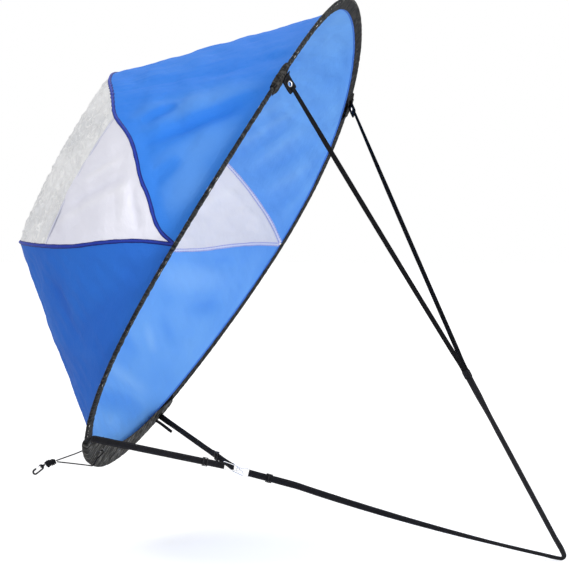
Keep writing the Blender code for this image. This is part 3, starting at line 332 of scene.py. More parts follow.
def braided_look(name, dark, light, pitch, strands):
    """Braided cord: two sets of slanting strands that cross, as bump and as a shade of colour.

    Height is the larger of two sine waves, one running up with the cord's turn and one down.
    """
    look, tree, shader = new_look(name, 0.72)
    place, along, turn = uv_parts(tree)
    lead = sum_node(tree, "MULTIPLY", along, 2 * math.pi / pitch)
    wind = sum_node(tree, "MULTIPLY", turn, 2 * strands / cord_diameter)
    up = sum_node(tree, "SINE", sum_node(tree, "ADD", lead, wind))
    down = sum_node(tree, "SINE", sum_node(tree, "SUBTRACT", lead, wind))
    weave = range_node(tree, sum_node(tree, "MAXIMUM", up, down), -0.2, 1.0)
    fuzz = noise_node(tree, place, 900.0)
    shade = sum_node(tree, "MULTIPLY", weave, sum_node(tree, "ADD", fuzz, 0.3))
    dress_shader(tree, shader, blend_node(tree, shade, dark, light), weave, 0.00018, 0.1)
    return look


black_cord = braided_look("black_braided_cord", (0.004, 0.004, 0.005), (0.024, 0.024, 0.028), 0.0024, 2)
cord_line = smooth_line(cord_stops, 0.0011)
tether_cord = round_bar("tether_cord_braid", cord_line, (0.0, 0.0, 1.0), cord_diameter / 2, black_cord)
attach(tether_cord, "hoop_and_lines")
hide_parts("tether_cord")

# ------------------------------
# Knot: both strands of the tether are wound together into a stopper with a slight waist. It is
# the same cord, so it is made as turns of cord round the strands and one turn laid across them.
knot_middle = np.array([-0.0565, -0.190, 0.0215])
knot_along = np.array([-0.83235, -0.51224, -0.21168])
knot_side = np.array([-0.52412, 0.85165, 0.0])
knot_square = np.cross(knot_along, knot_side)
knot_length = 0.0215
knot_cord = 0.0030
knot_turns = 6


def wound_cord(share):
    """A helix round the knot's middle line: fat at a third and at three quarters, waisted between.

    The radius is a half wave with a second, weaker one taken off at the middle.
    """
    turn = 2 * math.pi * knot_turns * share
    swell = np.sin(math.pi * (0.12 + 0.76 * share)) ** 0.7
    radius = 0.0060 * swell * (1 - 0.22 * np.exp(-(((share - 0.48) / 0.13) ** 2)))
    return (
        knot_middle
        + knot_along * (knot_length * (share - 0.5))[:, None]
        + knot_side * (radius * np.cos(turn))[:, None]
        + knot_square * (radius * np.sin(turn))[:, None]
    )


knot_share = np.linspace(0.0, 1.0, 260)
knot_line = wound_cord(knot_share)
tether_knot = round_bar("tether_knot_turns", knot_line, knot_along, knot_cord / 2, black_cord, ease=0.002)
core_share = np.linspace(-0.5, 0.5, 24)[:, None]
core_line = knot_middle + knot_along * knot_length * core_share
core_size = 0.0046 * np.cos(core_share[:, 0] * 2.3)
tether_knot_core = round_bar("tether_knot_core", core_line, knot_side, core_size, black_cord)
cross_turn = np.linspace(-0.9, 2.2, 48)
cross_line = (
    knot_middle
    + knot_along * (0.0062 * np.cos(cross_turn))[:, None]
    + knot_side * (0.0071 * np.sin(cross_turn))[:, None]
    + knot_square * (0.0055 + 0.0012 * np.cos(2 * cross_turn))[:, None]
)
tether_knot_cross = round_bar(
    "tether_knot_cross_turn", cross_line, knot_square, knot_cord / 2.3, black_cord, ease=0.002
)
for knot_piece in (tether_knot, tether_knot_core, tether_knot_cross):
    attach(knot_piece, "hoop_and_lines")
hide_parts("tether_knot")

# ------------------------------
# End loop and snap hook: a small loop of the cord holds a cast black hook, whose mouth is shut by
# a sprung gate of thin bright wire that turns on a pin through the hook's rear arm.
hook_long = np.array([-0.68527, -0.42172, -0.59376])
hook_short = np.array([-0.50568, -0.31120, 0.80464])
hook_thick = np.array([-0.52412, 0.85165, 0.0])
hook_eye = np.array([-0.07001, -0.19832, 0.01565])
hook_middle = np.array([-0.07796, -0.20321, 0.00876])
hook_length = 0.027
hook_width = 0.0124
hook_wire = 0.0038
hook_mouth = 0.0092
gate_wire = 0.0012
gate_spread = 0.0058
gate_tip_spread = 0.0020
end_loop_radius = 0.0042
up_z = np.array([0.0, 0.0, 1.0])


def straight(first, last, count, sag=0.0):
    """Even points from first to last, hanging by the sag at the middle as a parabola."""
    t = np.linspace(0, 1, count)[:, None]
    return first + t * (last - first) - up_z * sag * 4 * t * (1 - t)


def arc(centre, first, second, radius, start, stop, count):
    """Points on a circle's arc: centre plus radius times cosine along first and sine along second."""
    turns = np.linspace(start, stop, count)[:, None]
    return centre + radius * (np.cos(turns) * first + np.sin(turns) * second)


loop_turns = np.linspace(0, 2 * math.pi, 49)[:-1, None]
loop_line = hook_eye + end_loop_radius * (-np.cos(loop_turns) * hook_long + np.sin(loop_turns) * hook_thick)
tether_end_loop = round_bar(
    "tether_end_loop_cord", loop_line, hook_short, cord_diameter / 2, black_cord, closed=True
)
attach(tether_end_loop, "hoop_and_lines")
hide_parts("tether_end_loop")


def plastic_look(name, dark, light, roughness):
    """Moulded black plastic: fine spark texture, and a paler bloom where it has been handled."""
    look, tree, shader = new_look(name, roughness)
    place = object_place(tree)
    rub = range_node(tree, noise_node(tree, place, 260.0, 3.0, 0.6), 0.35, 0.75)
    grain = noise_node(tree, place, 2600.0, 2.0, 0.7)
    rough = range_node(tree, rub, 0.0, 1.0, roughness - 0.08, roughness + 0.12)
    tree.links.new(rough, shader.inputs["Roughness"])
    dress_shader(tree, shader, blend_node(tree, rub, dark, light), grain, 0.00005, 0.25)
    return look


def metal_look(name, colour, roughness, worn=None):
    """Plated metal: fine draw marks and a few duller, handled patches.

    worn is two distances from the bright edge, between which the plating turns dark.
    """
    look, tree, shader = new_look(name, roughness, 1.0)
    place = object_place(tree)
    dull = range_node(tree, noise_node(tree, place, 420.0, 3.0, 0.6), 0.4, 0.8)
    shade = tuple(0.72 * part for part in colour)
    plate = blend_node(tree, dull, colour, shade)
    if worn:
        plate = blend_node(tree, range_node(tree, uv_parts(tree)[2], *worn), plate, (0.035, 0.035, 0.040))
    rough = range_node(tree, dull, 0.0, 1.0, roughness, roughness + 0.25)
    tree.links.new(rough, shader.inputs["Roughness"])
    dress_shader(tree, shader, plate, noise_node(tree, place, 3200.0, 1.0), 0.00003)
    return look


black_acetal = plastic_look("black_acetal", (0.005, 0.005, 0.006), (0.018, 0.018, 0.021), 0.42)
bright_wire = metal_look("bright_plated_wire", (0.86, 0.86, 0.87), 0.22)

hook_arc = (hook_width - hook_wire) / 2
hook_straight = hook_length / 2 - hook_wire / 2 - hook_arc
hook_rear = arc(hook_middle - hook_long * hook_straight, hook_short, -hook_long, hook_arc, 0, math.pi, 22)
hook_front = arc(hook_middle + hook_long * hook_straight, -hook_short, hook_long, hook_arc, 0, math.pi, 22)
hook_nose = hook_middle + hook_long * (hook_mouth - hook_straight) + hook_short * hook_arc
hook_pivot_end = hook_middle + hook_long * (hook_wire / 2 - hook_straight) + hook_short * hook_arc
hook_back = straight(hook_rear[-1], hook_front[0], 8)[1:-1]
nose_run = straight(hook_front[-1], hook_nose, 10)[1:]
heel_run = straight(hook_pivot_end, hook_rear[0], 5)[:-1]
hook_line = np.vstack([heel_run, hook_rear, hook_back, hook_front, nose_run])
hook_place = path_length(hook_line)
hook_swell = 1 - 0.16 * np.sin(math.pi * hook_place / hook_place[-1]) ** 6
hook_body = round_bar(
    "snap_hook_body", hook_line, hook_thick, hook_wire / 2 * hook_swell, black_acetal, 20, ease=0.0016
)
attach(hook_body, "hook_body")
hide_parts("hook_body")

gate_pivot = hook_middle - hook_long * hook_straight + hook_short * hook_arc
gate_tip = hook_nose - hook_long * (0.0006 + gate_wire / 2)
gate_corners = np.array(
    [
        gate_pivot - hook_thick * gate_spread / 2,
        gate_pivot + hook_thick * gate_spread / 2,
        gate_tip + hook_thick * gate_tip_spread / 2,
        gate_tip - hook_thick * gate_tip_spread / 2,
    ]
)


def rounded_loop(corners, radius, count):
    """A closed path with its corners rounded.

    Each corner is the parabola that leaves one side a radius before the corner and joins the next
    side a radius after it.
    """
    before = unit(np.roll(corners, 1, axis=0) - corners)
    after = unit(np.roll(corners, -1, axis=0) - corners)
    start = (corners + before * radius)[:, None, :]
    stop = (corners + after * radius)[:, None, :]
    t = np.linspace(0, 1, count)[None, :, None]
    bends = (1 - t) ** 2 * start + 2 * t * (1 - t) * corners[:, None, :] + t**2 * stop
    return bends.reshape(-1, 3)


gate_line = rounded_loop(gate_corners, gate_wire * 0.9, 6)
hook_gate = round_bar("snap_hook_gate_wire", gate_line, hook_short, gate_wire / 2, bright_wire, 12, True)
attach(hook_gate, "hook_gate")
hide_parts("hook_gate")

# ------------------------------
# Hoop: a springy glass-fibre rod, bent to a circle of 1.083 m and joined at the foot by a metal
# ferrule. It leans back 29.5 degrees and bows a little out of its plane, as a twist-fold hoop does.
hoop_radius = 1.083 / 2
hoop_lean = math.radians(29.5)
side_bow = 0.013
tip_bow = 0.007
base_cloth = 0.0015
up_hoop = np.array([math.sin(hoop_lean), 0.0, math.cos(hoop_lean)])
out_back = np.array([-math.cos(hoop_lean), 0.0, math.sin(hoop_lean)])
across = np.array([0.0, 1.0, 0.0])


def hoop_bow(theta):
    """How far the hoop stands out of its plane: cosines of twice and three times the angle."""
    return side_bow * np.cos(2 * theta) + tip_bow * np.cos(3 * theta)


hoop_centre = (hoop_radius + base_cloth) * up_hoop - hoop_bow(math.pi) * out_back


def hoop_point(theta, radius, offset=0.0):
    """A point at an angle from the hoop's top: centre, plus radius outwards, plus bow and offset."""
    theta, radius, offset = np.broadcast_arrays(theta, radius, offset)
    ring = np.cos(theta)[..., None] * up_hoop + np.sin(theta)[..., None] * across
    return hoop_centre + radius[..., None] * ring + (hoop_bow(theta) + offset)[..., None] * out_back


def rod_look():
    """Pulled glass rod: pale resin with long glass streaks that run round the hoop."""
    look, tree, shader = new_look("fibreglass_rod", 0.4)
    place = object_place(tree)
    streaks = noise_node(tree, place, 700.0, 4.0, 0.7)
    colour = blend_node(tree, streaks, (0.62, 0.58, 0.48), (0.84, 0.82, 0.75))
    dress_shader(tree, shader, colour, streaks, 0.00004)
    return look


def refinish(node, look):
    """Gives a node that keeps its own mesh a better material."""
    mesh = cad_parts[node].data
    mesh.materials.clear()
    mesh.materials.append(look)


ferrule_metal = metal_look("dull_ferrule_metal", (0.60, 0.60, 0.62), 0.35)
refinish("hoop_rod", rod_look())
refinish("hoop_ferrule", ferrule_metal)

# ------------------------------
# Sleeve: one long strip of black polyester folded round the rod and sewn shut along its inner
# edge, where the sail cloth goes in. The rod fills the outer side, and the rest lies flat and
# gathers in cross wrinkles. Its two ends meet under the base patch.
sleeve_width = 0.028
sleeve_thickness = 0.011
bead_thickness = 0.0078
sleeve_middle = hoop_radius - sleeve_width / 2
sleeve_end_gap = 0.006
sleeve_seam_thickness = 0.0034


def ripples(places, size, seed):
    """Smooth uneven waves from -1 to 1: a sum of sines in seeded directions, with lengths near size."""
    waves = 9
    dice = np.random.default_rng(seed)
    headings = unit(dice.normal(size=(waves, places.shape[-1])))
    rates = 2 * math.pi / size * dice.uniform(0.6, 1.5, waves)
    phases = dice.uniform(0, 2 * math.pi, waves)
    return np.sin(places @ (headings * rates[:, None]).T + phases).sum(axis=-1) / math.sqrt(waves * 2)


def smooth_step(share):
    """0 up to a share of 0, 1 from a share of 1, and an even S between: 3 squares less 2 cubes."""
    share = np.clip(share, 0, 1)
    return share * share * (3 - 2 * share)


def half_sleeve(across_it):
    """Half the sleeve's thickness, and 0 on its flat part to 1 on the bead round the rod."""
    bead = smooth_step((across_it + 0.25) / 0.9)
    return (sleeve_seam_thickness + (bead_thickness - sleeve_seam_thickness) * bead) / 2, bead


def squared(wave, power):
    """A wave from -1 to 1 drawn towards its ends: its size to a power, with its own sign."""
    return np.sign(wave) * np.abs(wave) ** power


def sleeve_ring(turn):
    """The sleeve's section: a bead round the rod at the outer side, drawn out flat to its seam.

    Across is the cosine of the turn. Half thickness is the sine times a blend from the bead to the
    seam's own thickness.
    """
    across_it = squared(np.cos(turn), 0.8)
    half, bead = half_sleeve(across_it)
    return (sleeve_width / 2 - 0.0006) * across_it, half * squared(np.sin(turn), 0.75), bead


sleeve_turn = np.linspace(0, 2 * math.pi, 41)[:-1] + math.pi / 40
sleeve_across, sleeve_lift, sleeve_bead = sleeve_ring(sleeve_turn)
sleeve_cut = sleeve_end_gap / 2 / hoop_radius
sleeve_theta = np.linspace(math.pi + sleeve_cut, 3 * math.pi - sleeve_cut, 1901)
around_place = np.stack(
    np.broadcast_arrays(
        (sleeve_theta * hoop_radius)[:, None], (sleeve_across * 0.22)[None, :], (sleeve_lift * 0.5)[None, :]
    ),
    axis=-1,
)
gathers = ripples(around_place, 0.016, 3) + 0.55 * ripples(around_place, 0.008, 4)
slack = 0.5 + 0.5 * ripples(around_place * (1, 0, 0), 0.11, 5)[:, :1]
pucker = 0.00042 * gathers * (0.45 + 0.75 * slack) * (1.25 - 0.6 * sleeve_bead)
edge_wander = 0.0004 * ripples(around_place * (1, 0, 0), 0.05, 6)
sleeve_grid = hoop_point(
    sleeve_theta[:, None],
    sleeve_middle + sleeve_across + edge_wander - 0.0003,
    sleeve_lift + pucker * np.sign(sleeve_lift),
)
sleeve_uv = uv_grid(sleeve_theta * hoop_radius, np.append(sleeve_across, sleeve_across[0]))


def stitch_group():
    """One row of stitches: 1 on the thread, 0 off it, and a dip of 0 to 1 where it pulls the cloth."""
    group, given, result = new_group(
        "stitch_row",
        [
            ("Along", "NodeSocketFloat", 0.0),
            ("Across", "NodeSocketFloat", 0.0),
            ("Row", "NodeSocketFloat", 0.0),
            ("Pitch", "NodeSocketFloat", 0.003),
            ("Thread", "NodeSocketFloat", 0.0005),
        ],
        [("Mask", "NodeSocketFloat"), ("Dip", "NodeSocketFloat")],
    )
    along, over, row, pitch, thread = given.outputs[:5]
    off = sum_node(group, "ABSOLUTE", sum_node(group, "SUBTRACT", over, row))
    beat = sum_node(group, "FRACT", sum_node(group, "DIVIDE", along, pitch))
    dash = sum_node(group, "ABSOLUTE", sum_node(group, "SUBTRACT", beat, 0.5))
    on_dash = range_node(group, dash, 0.36, 0.30)
    on_row = sum_node(group, "LESS_THAN", off, thread)
    group.links.new(sum_node(group, "MULTIPLY", on_dash, on_row), result.inputs[0])
    reach = sum_node(group, "DIVIDE", off, sum_node(group, "MULTIPLY", thread, 4.0))
    group.links.new(range_node(group, reach, 1.0, 0.0), result.inputs[1])
    return group


stitch_row = stitch_group()


def sewn_rows(tree, spot, rows, colour, height, thread, sink, rise, pitch=0.003, half_thread=0.0004):
    """A piece's colour and height with rows of stitches laid over them.

    spot is the point's distance along the piece and over it. Each row lies at its own distance over
    it, sinks the cloth on both sides and stands up itself.
    """
    along, over = spot
    for row in rows:
        mask, dip = group_node(
            tree, stitch_row, Along=along, Across=over, Row=row, Pitch=pitch, Thread=half_thread
        )
        colour = blend_node(tree, mask, colour, thread)
        height = sum_node(tree, "MULTIPLY_ADD", dip, -sink, height)
        height = sum_node(tree, "MULTIPLY_ADD", mask, rise, height)
    return colour, height


def weave_group():
    """Plain weave: a value of 0 to 1 that is high where warp or weft comes to the face."""
    group, given, result = new_group(
        "plain_weave",
        [("Place", "NodeSocketVector", None), ("Threads", "NodeSocketFloat", 1000.0)],
        [("Weave", "NodeSocketFloat")],
    )
    parts = group.nodes.new("ShaderNodeSeparateXYZ")
    group.links.new(given.outputs["Place"], parts.inputs[0])
    rate = sum_node(group, "MULTIPLY", given.outputs["Threads"], math.pi)
    warp = sum_node(group, "SINE", sum_node(group, "MULTIPLY", parts.outputs[0], rate))
    weft = sum_node(group, "SINE", sum_node(group, "MULTIPLY", parts.outputs[1], rate))
    crossed = sum_node(group, "MULTIPLY", warp, weft)
    group.links.new(sum_node(group, "MULTIPLY_ADD", crossed, 0.5, 0.5), result.inputs[0])
    return group


plain_weave = weave_group()


def weave(tree, place, threads):
    """The plain weave at this many threads a metre."""
    return group_node(tree, plain_weave, Place=place, Threads=threads)[0]


def sleeve_look(name, rows, dark, light, crest_highlight, streaks=90.0):
    """Charcoal polyester: a weave, lighter and darker streaks across its gathers, a painted highlight on
    their crests, and rows of stitches.

    The streaks, so many to the metre, are noise drawn out across the strip, where the cloth creases as
    it is pushed together. Their lighter parts are partly the cloth's uneven tone and partly painted
    highlight on the gathers.
    """
    look, tree, shader = new_look(name, 0.8)
    place, *spot = uv_parts(tree)
    drawn = tree.nodes.new("ShaderNodeVectorMath")
    drawn.operation = "MULTIPLY"
    drawn.inputs[1].default_value = (1.0, 0.38, 1.0)
    tree.links.new(place, drawn.inputs[0])
    # Streaks of lighter and darker colour: uneven tone, and partly painted highlight on the gathers
    mottle_and_highlight = range_node(tree, noise_node(tree, drawn.outputs[0], streaks, 4.0, 0.66), 0.40, 0.66)
    crease = range_node(tree, noise_node(tree, drawn.outputs[0], streaks * 2.4, 3.0, 0.6), 0.48, 0.64)
    threads = weave(tree, place, 1500.0)
    colour = blend_node(tree, mottle_and_highlight, dark, light)
    # Painted highlight: the crests of the creases are lightened towards the third colour
    colour = blend_node(tree, sum_node(tree, "MULTIPLY", crease, 0.6), colour, crest_highlight)
    colour = blend_node(tree, sum_node(tree, "MULTIPLY", threads, 0.2), colour, dark)
    height = sum_node(tree, "MULTIPLY_ADD", crease, 0.9, sum_node(tree, "MULTIPLY", threads, 0.12))
    colour, height = sewn_rows(tree, spot, rows, colour, height, (0.055, 0.055, 0.055), 0.5, 0.35)
    dress_shader(tree, shader, colour, height, 0.0005, 0.1)
    return look


# The sleeve's third colour is painted highlight on the crests of its gathers
sleeve_cloth = sleeve_look(
    "black_polyester_sleeve", [-0.0115], (0.005, 0.006, 0.009), (0.030, 0.031, 0.031), (0.095, 0.093, 0.088)
)
hoop_sleeve = skin("hoop_sleeve_cloth", sleeve_grid, sleeve_uv, sleeve_cloth)
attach(hoop_sleeve, "hoop_and_lines")
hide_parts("hoop_sleeve")

# ------------------------------
# Sail cloth: three bands of light coated nylon from one side of the hoop to the other, blue above
# and below, white between, cut flat and sewn to a mitred bag. Each is one thin curved sheet with
# the soft fans of folds that it keeps from its twisted packing.
cloth_radius = hoop_radius - sleeve_width - 0.0012
cloth_sewn_in = 0.0022
cloth_half = 0.00035
side_angle = math.radians(91.2)
side_middle = hoop_point(side_angle, cloth_radius) * (1 - across)
side_reach = cloth_radius * math.sin(side_angle)
upper_corner = hoop_centre + 0.180 * up_hoop + 0.363 * out_back
lower_corner = hoop_centre - 0.218 * up_hoop + 0.361 * out_back
band_end_share = 89.6 / 90
window_half_share = 47 / 90
thread_ends = (0.0016, 0.9984)
bag_middle = hoop_centre + 0.119 * out_back


def seam_curve(share, corner, wander, pucker=0.0):
    """A seam from side to side: half an ellipse through its corner, lifted where the cloth draws it.

    Share is -1 at the near side, 0 at the corner and 1 at the far side. The lift is read between the
    (share, metres) pairs of wander, each value averaged over a short stretch to ease its bends.
    pucker adds a short wave beside the corner, under a bell curve.
    """
    phi = share * math.pi / 2
    reach = corner - side_middle
    places, lifts = np.array(wander).T
    ease = np.linspace(-0.03, 0.03, 9)
    lift = np.interp(share[..., None] + ease, places, lifts).mean(axis=-1)
    wave = np.sin(2 * math.pi * share / 0.023) * (0.7 + 0.3 * np.sin(2 * math.pi * share / 0.071))
    lift = lift + pucker * np.exp(-(((share + 0.37) / 0.11) ** 2)) * wave
    return (
        side_middle
        + np.cos(phi)[..., None] * reach
        + (side_reach * np.sin(phi))[..., None] * across
        + lift[..., None] * np.cross(across, unit(reach))
    )


upper_wander = [
    (-1.0, 0.0), (-0.97, -0.010), (-0.93, -0.015), (-0.89, -0.009), (-0.84, 0.001), (-0.80, 0.003),
    (-0.775, 0.001), (-0.755, 0.009), (-0.72, 0.013), (-0.665, 0.020), (-0.61, 0.018), (-0.56, 0.011),
    (-0.515, 0.006), (-0.465, 0.010), (-0.415, 0.013), (-0.36, 0.012), (-0.28, 0.006), (-0.2, 0.004),
    (-0.1, 0.001), (0.0, 0.0), (0.2, 0.003), (0.4, 0.006), (0.6, 0.006), (0.72, 0.012), (0.8, 0.0135),
    (0.9, 0.012), (0.96, 0.007), (1.0, 0.0),
]
lower_wander = [
    (-1.0, 0.0), (-0.97, 0.003), (-0.905, 0.0075), (-0.84, 0.007), (-0.76, 0.003), (-0.67, -0.004),
    (-0.58, -0.005), (-0.46, -0.0025), (-0.25, 0.003), (-0.1, 0.001), (0.1, -0.003), (0.3, -0.007),
    (0.5, -0.012), (0.64, -0.015), (0.74, -0.013), (0.8, -0.006), (0.86, -0.001), (0.93, 0.002), (1.0, 0.0),
]


def upper_seam(share):
    """The seam of the upper blue and the white band."""
    return seam_curve(share, upper_corner, upper_wander, 0.0016)


def lower_seam(share):
    """The seam of the white and the lower blue band."""
    return seam_curve(share, lower_corner, lower_wander)


def upper_edge(share):
    """Where the upper band goes into the sleeve."""
    return hoop_point(share * side_angle, cloth_radius + cloth_sewn_in)


def lower_edge(share):
    """Where the lower band goes into the sleeve."""
    return hoop_point(math.pi - share * (math.pi - side_angle), cloth_radius + cloth_sewn_in)


upper_square = unit(np.cross(hoop_point(0.0, cloth_radius) - upper_corner, across))
middle_square = unit(np.cross(upper_corner - lower_corner, across))
lower_square = unit(np.cross(lower_corner - hoop_point(math.pi, cloth_radius), across))
# Each band: its two edge curves, the direction out of it, its billow and the number of its broad folds
upper_band = (upper_edge, upper_seam, upper_square, -0.006, 3.5)
middle_band = (upper_seam, lower_seam, middle_square, 0.0135, 0.0)
lower_band = (lower_edge, lower_seam, lower_square, -0.002, 2.5)
broad_fold = 0.0035


def band_surface(share, down, band):
    """A band's smooth surface: straight threads from edge to edge, pushed out by billow and folds.

    The push is a parabola down the thread times the billow, plus a cosine that fans out across the
    band, and both die away towards the sides.
    """
    start_curve, end_curve, square, billow, folds = band
    start, end = start_curve(share), end_curve(share)
    spread = np.cos(share * math.pi / 2)
    push = 4 * down * (1 - down) * billow * spread
    fan = np.cos(folds * math.pi * (np.abs(share) - down / 4)) * np.sin(math.pi * down) ** 2
    push = push + (folds > 0) * broad_fold * fan * spread
    return start + down[..., None] * (end - start) + push[..., None] * square


def outward(surface):
    """Unit normals of a grid of points, turned away from the middle of the bag."""
    normal = unit(np.cross(np.gradient(surface, axis=0), np.gradient(surface, axis=1)))
    away = ((surface - bag_middle) * normal).sum(axis=-1, keepdims=True)
    return normal * np.sign(away)


def fold_lines(surface, band, lines):
    """Height of the small folds: soft ridges along straight lines between two points of a band.

    Each line is (share, down) to (share, down), a height and a half width in metres. A ridge falls
    off as a bell curve with the distance from its line and dies out at both ends of it.
    """
    height = np.zeros(surface.shape[:2])
    for first, last, rise, width in lines:
        ends = band_surface(np.array([first[0], last[0]]), np.array([first[1], last[1]]), band)
        run = ends[1] - ends[0]
        share = ((surface - ends[0]) @ run) / (run @ run)
        off = np.linalg.norm(surface - ends[0] - np.clip(share, 0, 1)[..., None] * run, axis=-1)
        fade = np.sin(math.pi * np.clip(share, 0.02, 0.98)) ** 0.6
        height += rise * np.exp(-((off / width) ** 2)) * fade
    return height


def edge_distance(surface):
    """Metres from each point to the nearer long edge of its band, along its thread."""
    steps = np.linalg.norm(np.diff(surface, axis=1), axis=2)
    run = np.concatenate([np.zeros((len(surface), 1)), np.cumsum(steps, axis=1)], axis=1)
    return np.minimum(run, run[:, -1:] - run), run


def cloth_shell(name, surface, looks, crumple, folds):
    """A thin closed sheet on a grid of points, its outer face first.

    Both faces stand half the cloth's thickness off the grid, which crumple has pushed along its
    normals. uv is metres across and down, and the attributes say how far the nearest edge is and
    how high the broad folds are there.
    """
    normal = outward(surface)
    pushed = surface + crumple[..., None] * normal
    normal = outward(pushed)
    rows, columns = surface.shape[:2]
    points = np.concatenate([pushed + cloth_half * normal, pushed - cloth_half * normal]).reshape(-1, 3)
    first = (np.arange(rows - 1)[:, None] * columns + np.arange(columns - 1)[None, :]).reshape(-1, 1)
    outer = first + (0, 1, columns + 1, columns)
    count = rows * columns
    ids = np.arange(count).reshape(rows, columns)
    border = np.concatenate([ids[0, :-1], ids[:-1, -1], ids[-1, :0:-1], ids[:0:-1, 0]])
    after = np.roll(border, -1)
    rim = np.stack([border, border + count, after + count, after], axis=-1)
    faces = np.concatenate([outer, outer[:, ::-1] + count, rim])
    mesh = bpy.data.meshes.new(name)
    mesh.from_pydata(points.tolist(), [], faces.tolist())
    nearest, run = edge_distance(surface)
    steps = np.linalg.norm(np.diff(surface, axis=0), axis=2)
    breadth = np.concatenate([np.zeros((1, columns)), np.cumsum(steps, axis=0)])
    breadth = breadth - breadth[-1:] / 2
    places = np.stack([breadth, run], axis=-1).reshape(-1, 2)
    layer = mesh.uv_layers.new(name="metres")
    layer.data.foreach_set("uv", places[faces.ravel() % count].astype(np.float32).ravel())
    for label, values in (("edge", nearest), ("fold", folds)):
        stored = mesh.attributes.new(label, "FLOAT", "POINT")
        stored.data.foreach_set("value", np.tile(values.ravel(), 2).astype(np.float32))
    kinds = np.zeros(len(faces), np.int32)
    kinds[len(outer) : 2 * len(outer)] = 1
    for look in looks:
        mesh.materials.append(look)
    mesh.polygons.foreach_set("material_index", kinds)
    settle(mesh, 60)
    return new_object(name, mesh)


def attribute_value(tree, label):
    """The value of a mesh attribute."""
    node = tree.nodes.new("ShaderNodeAttribute")
    node.attribute_name = label
    return node.outputs["Fac"]


def nylon_group():
    """Light coated nylon: crossed ripstop threads, crinkle, and a shade that drifts over the cloth.

    Ripstop is 1 on a thicker thread every 5 mm both ways. Drift and Crinkle are noise from 0 to 1.
    Height joins all three for a bump.
    """
    group, given, result = new_group(
        "coated_nylon",
        [("Place", "NodeSocketVector", None)],
        [
            ("Ripstop", "NodeSocketFloat"),
            ("Drift", "NodeSocketFloat"),
            ("Crinkle", "NodeSocketFloat"),
            ("Height", "NodeSocketFloat"),
        ],
    )
    place = given.outputs["Place"]
    parts = group.nodes.new("ShaderNodeSeparateXYZ")
    group.links.new(place, parts.inputs[0])
    threads = []
    for part in parts.outputs[:2]:
        beat = sum_node(group, "FRACT", sum_node(group, "MULTIPLY", part, 200.0))
        off = sum_node(group, "ABSOLUTE", sum_node(group, "SUBTRACT", beat, 0.5))
        threads.append(range_node(group, off, 0.42, 0.47))
    ripstop = sum_node(group, "MAXIMUM", *threads)
    drift = range_node(group, noise_node(group, place, 5.0, 2.0, 0.5), 0.3, 0.7)
    crinkle = range_node(group, noise_node(group, place, 55.0, 4.0, 0.62), 0.25, 0.75)
    height = sum_node(group, "MULTIPLY_ADD", ripstop, 0.10, crinkle)
    for output, value in zip(result.inputs, (ripstop, drift, crinkle, height)):
        group.links.new(value, output)
    return group


coated_nylon = nylon_group()


def nylon_look(name, colour, deep, pale, hem_colour, hem_reach):
    """A face of the sail cloth.

    The base colour drifts towards a deeper one, crests of folds carry a painted highlight towards the
    pale colour and valleys a painted shade towards the deep one, and a strip along the long edges,
    where the cloth is doubled in the seam, has the hem's colour.
    """
    look, tree, shader = new_look(name, 0.7)
    place = uv_parts(tree)[0]
    cloth = group_node(tree, coated_nylon, Place=place)
    fold = attribute_value(tree, "fold")
    # Painted highlight on the crests of the folds and painted shade in their valleys, by fold height
    crest_highlight = sum_node(tree, "MULTIPLY", range_node(tree, fold, 0.0, 0.0066), 0.75)
    valley_shade = sum_node(tree, "MULTIPLY", range_node(tree, fold, 0.0, -0.0066), 0.85)
    tone = blend_node(tree, sum_node(tree, "MULTIPLY", cloth["Drift"], 0.5), colour, deep)
    tone = blend_node(tree, crest_highlight, tone, pale)
    tone = blend_node(tree, valley_shade, tone, deep)
    tone = blend_node(tree, sum_node(tree, "MULTIPLY", cloth["Ripstop"], 0.10), tone, pale)
    hem = range_node(tree, attribute_value(tree, "edge"), hem_reach * 1.15, hem_reach * 0.9)
    tone = blend_node(tree, sum_node(tree, "MULTIPLY", hem, 0.85), tone, hem_colour)
    dress_shader(tree, shader, tone, cloth["Height"], 0.0006, 0.1)
    return look


# Folds as (share, down) to (share, down), height and half width: fans from the near and far sides.
# Their heights also set the nylon's painted highlight on crests and painted shade in valleys
upper_lines = [
    ((-0.55, 0.04), (-0.55, 0.97), 0.0049, 0.046),
    ((-0.53, 0.62), (-0.58, 0.87), -0.0075, 0.0138),
    ((-0.575, 0.06), (-0.68, 0.97), -0.0089, 0.0184),
    ((-0.66, 0.05), (-0.80, 0.97), 0.0049, 0.0483),
    ((-0.80, 0.10), (-0.90, 0.92), 0.0041, 0.0345),
    ((-0.74, 0.55), (-0.80, 0.90), -0.0048, 0.0161),
    ((-0.42, 0.05), (-0.38, 0.95), -0.0026, 0.0253),
    ((0.02, 0.10), (-0.06, 0.95), -0.0026, 0.0253),
    ((0.18, 0.05), (0.22, 0.90), 0.0019, 0.039),
    ((0.44, 0.30), (0.54, 0.92), 0.0028, 0.0195),
    ((0.50, 0.30), (0.62, 0.90), 0.0038, 0.0165),
    ((0.54, 0.28), (0.66, 0.85), -0.0035, 0.018),
    ((0.58, 0.24), (0.71, 0.88), 0.0036, 0.0195),
    ((0.64, 0.15), (0.76, 0.85), -0.003, 0.0195),
    ((0.72, 0.12), (0.82, 0.90), 0.0032, 0.018),
    ((0.80, 0.10), (0.88, 0.85), -0.0025, 0.018),
]
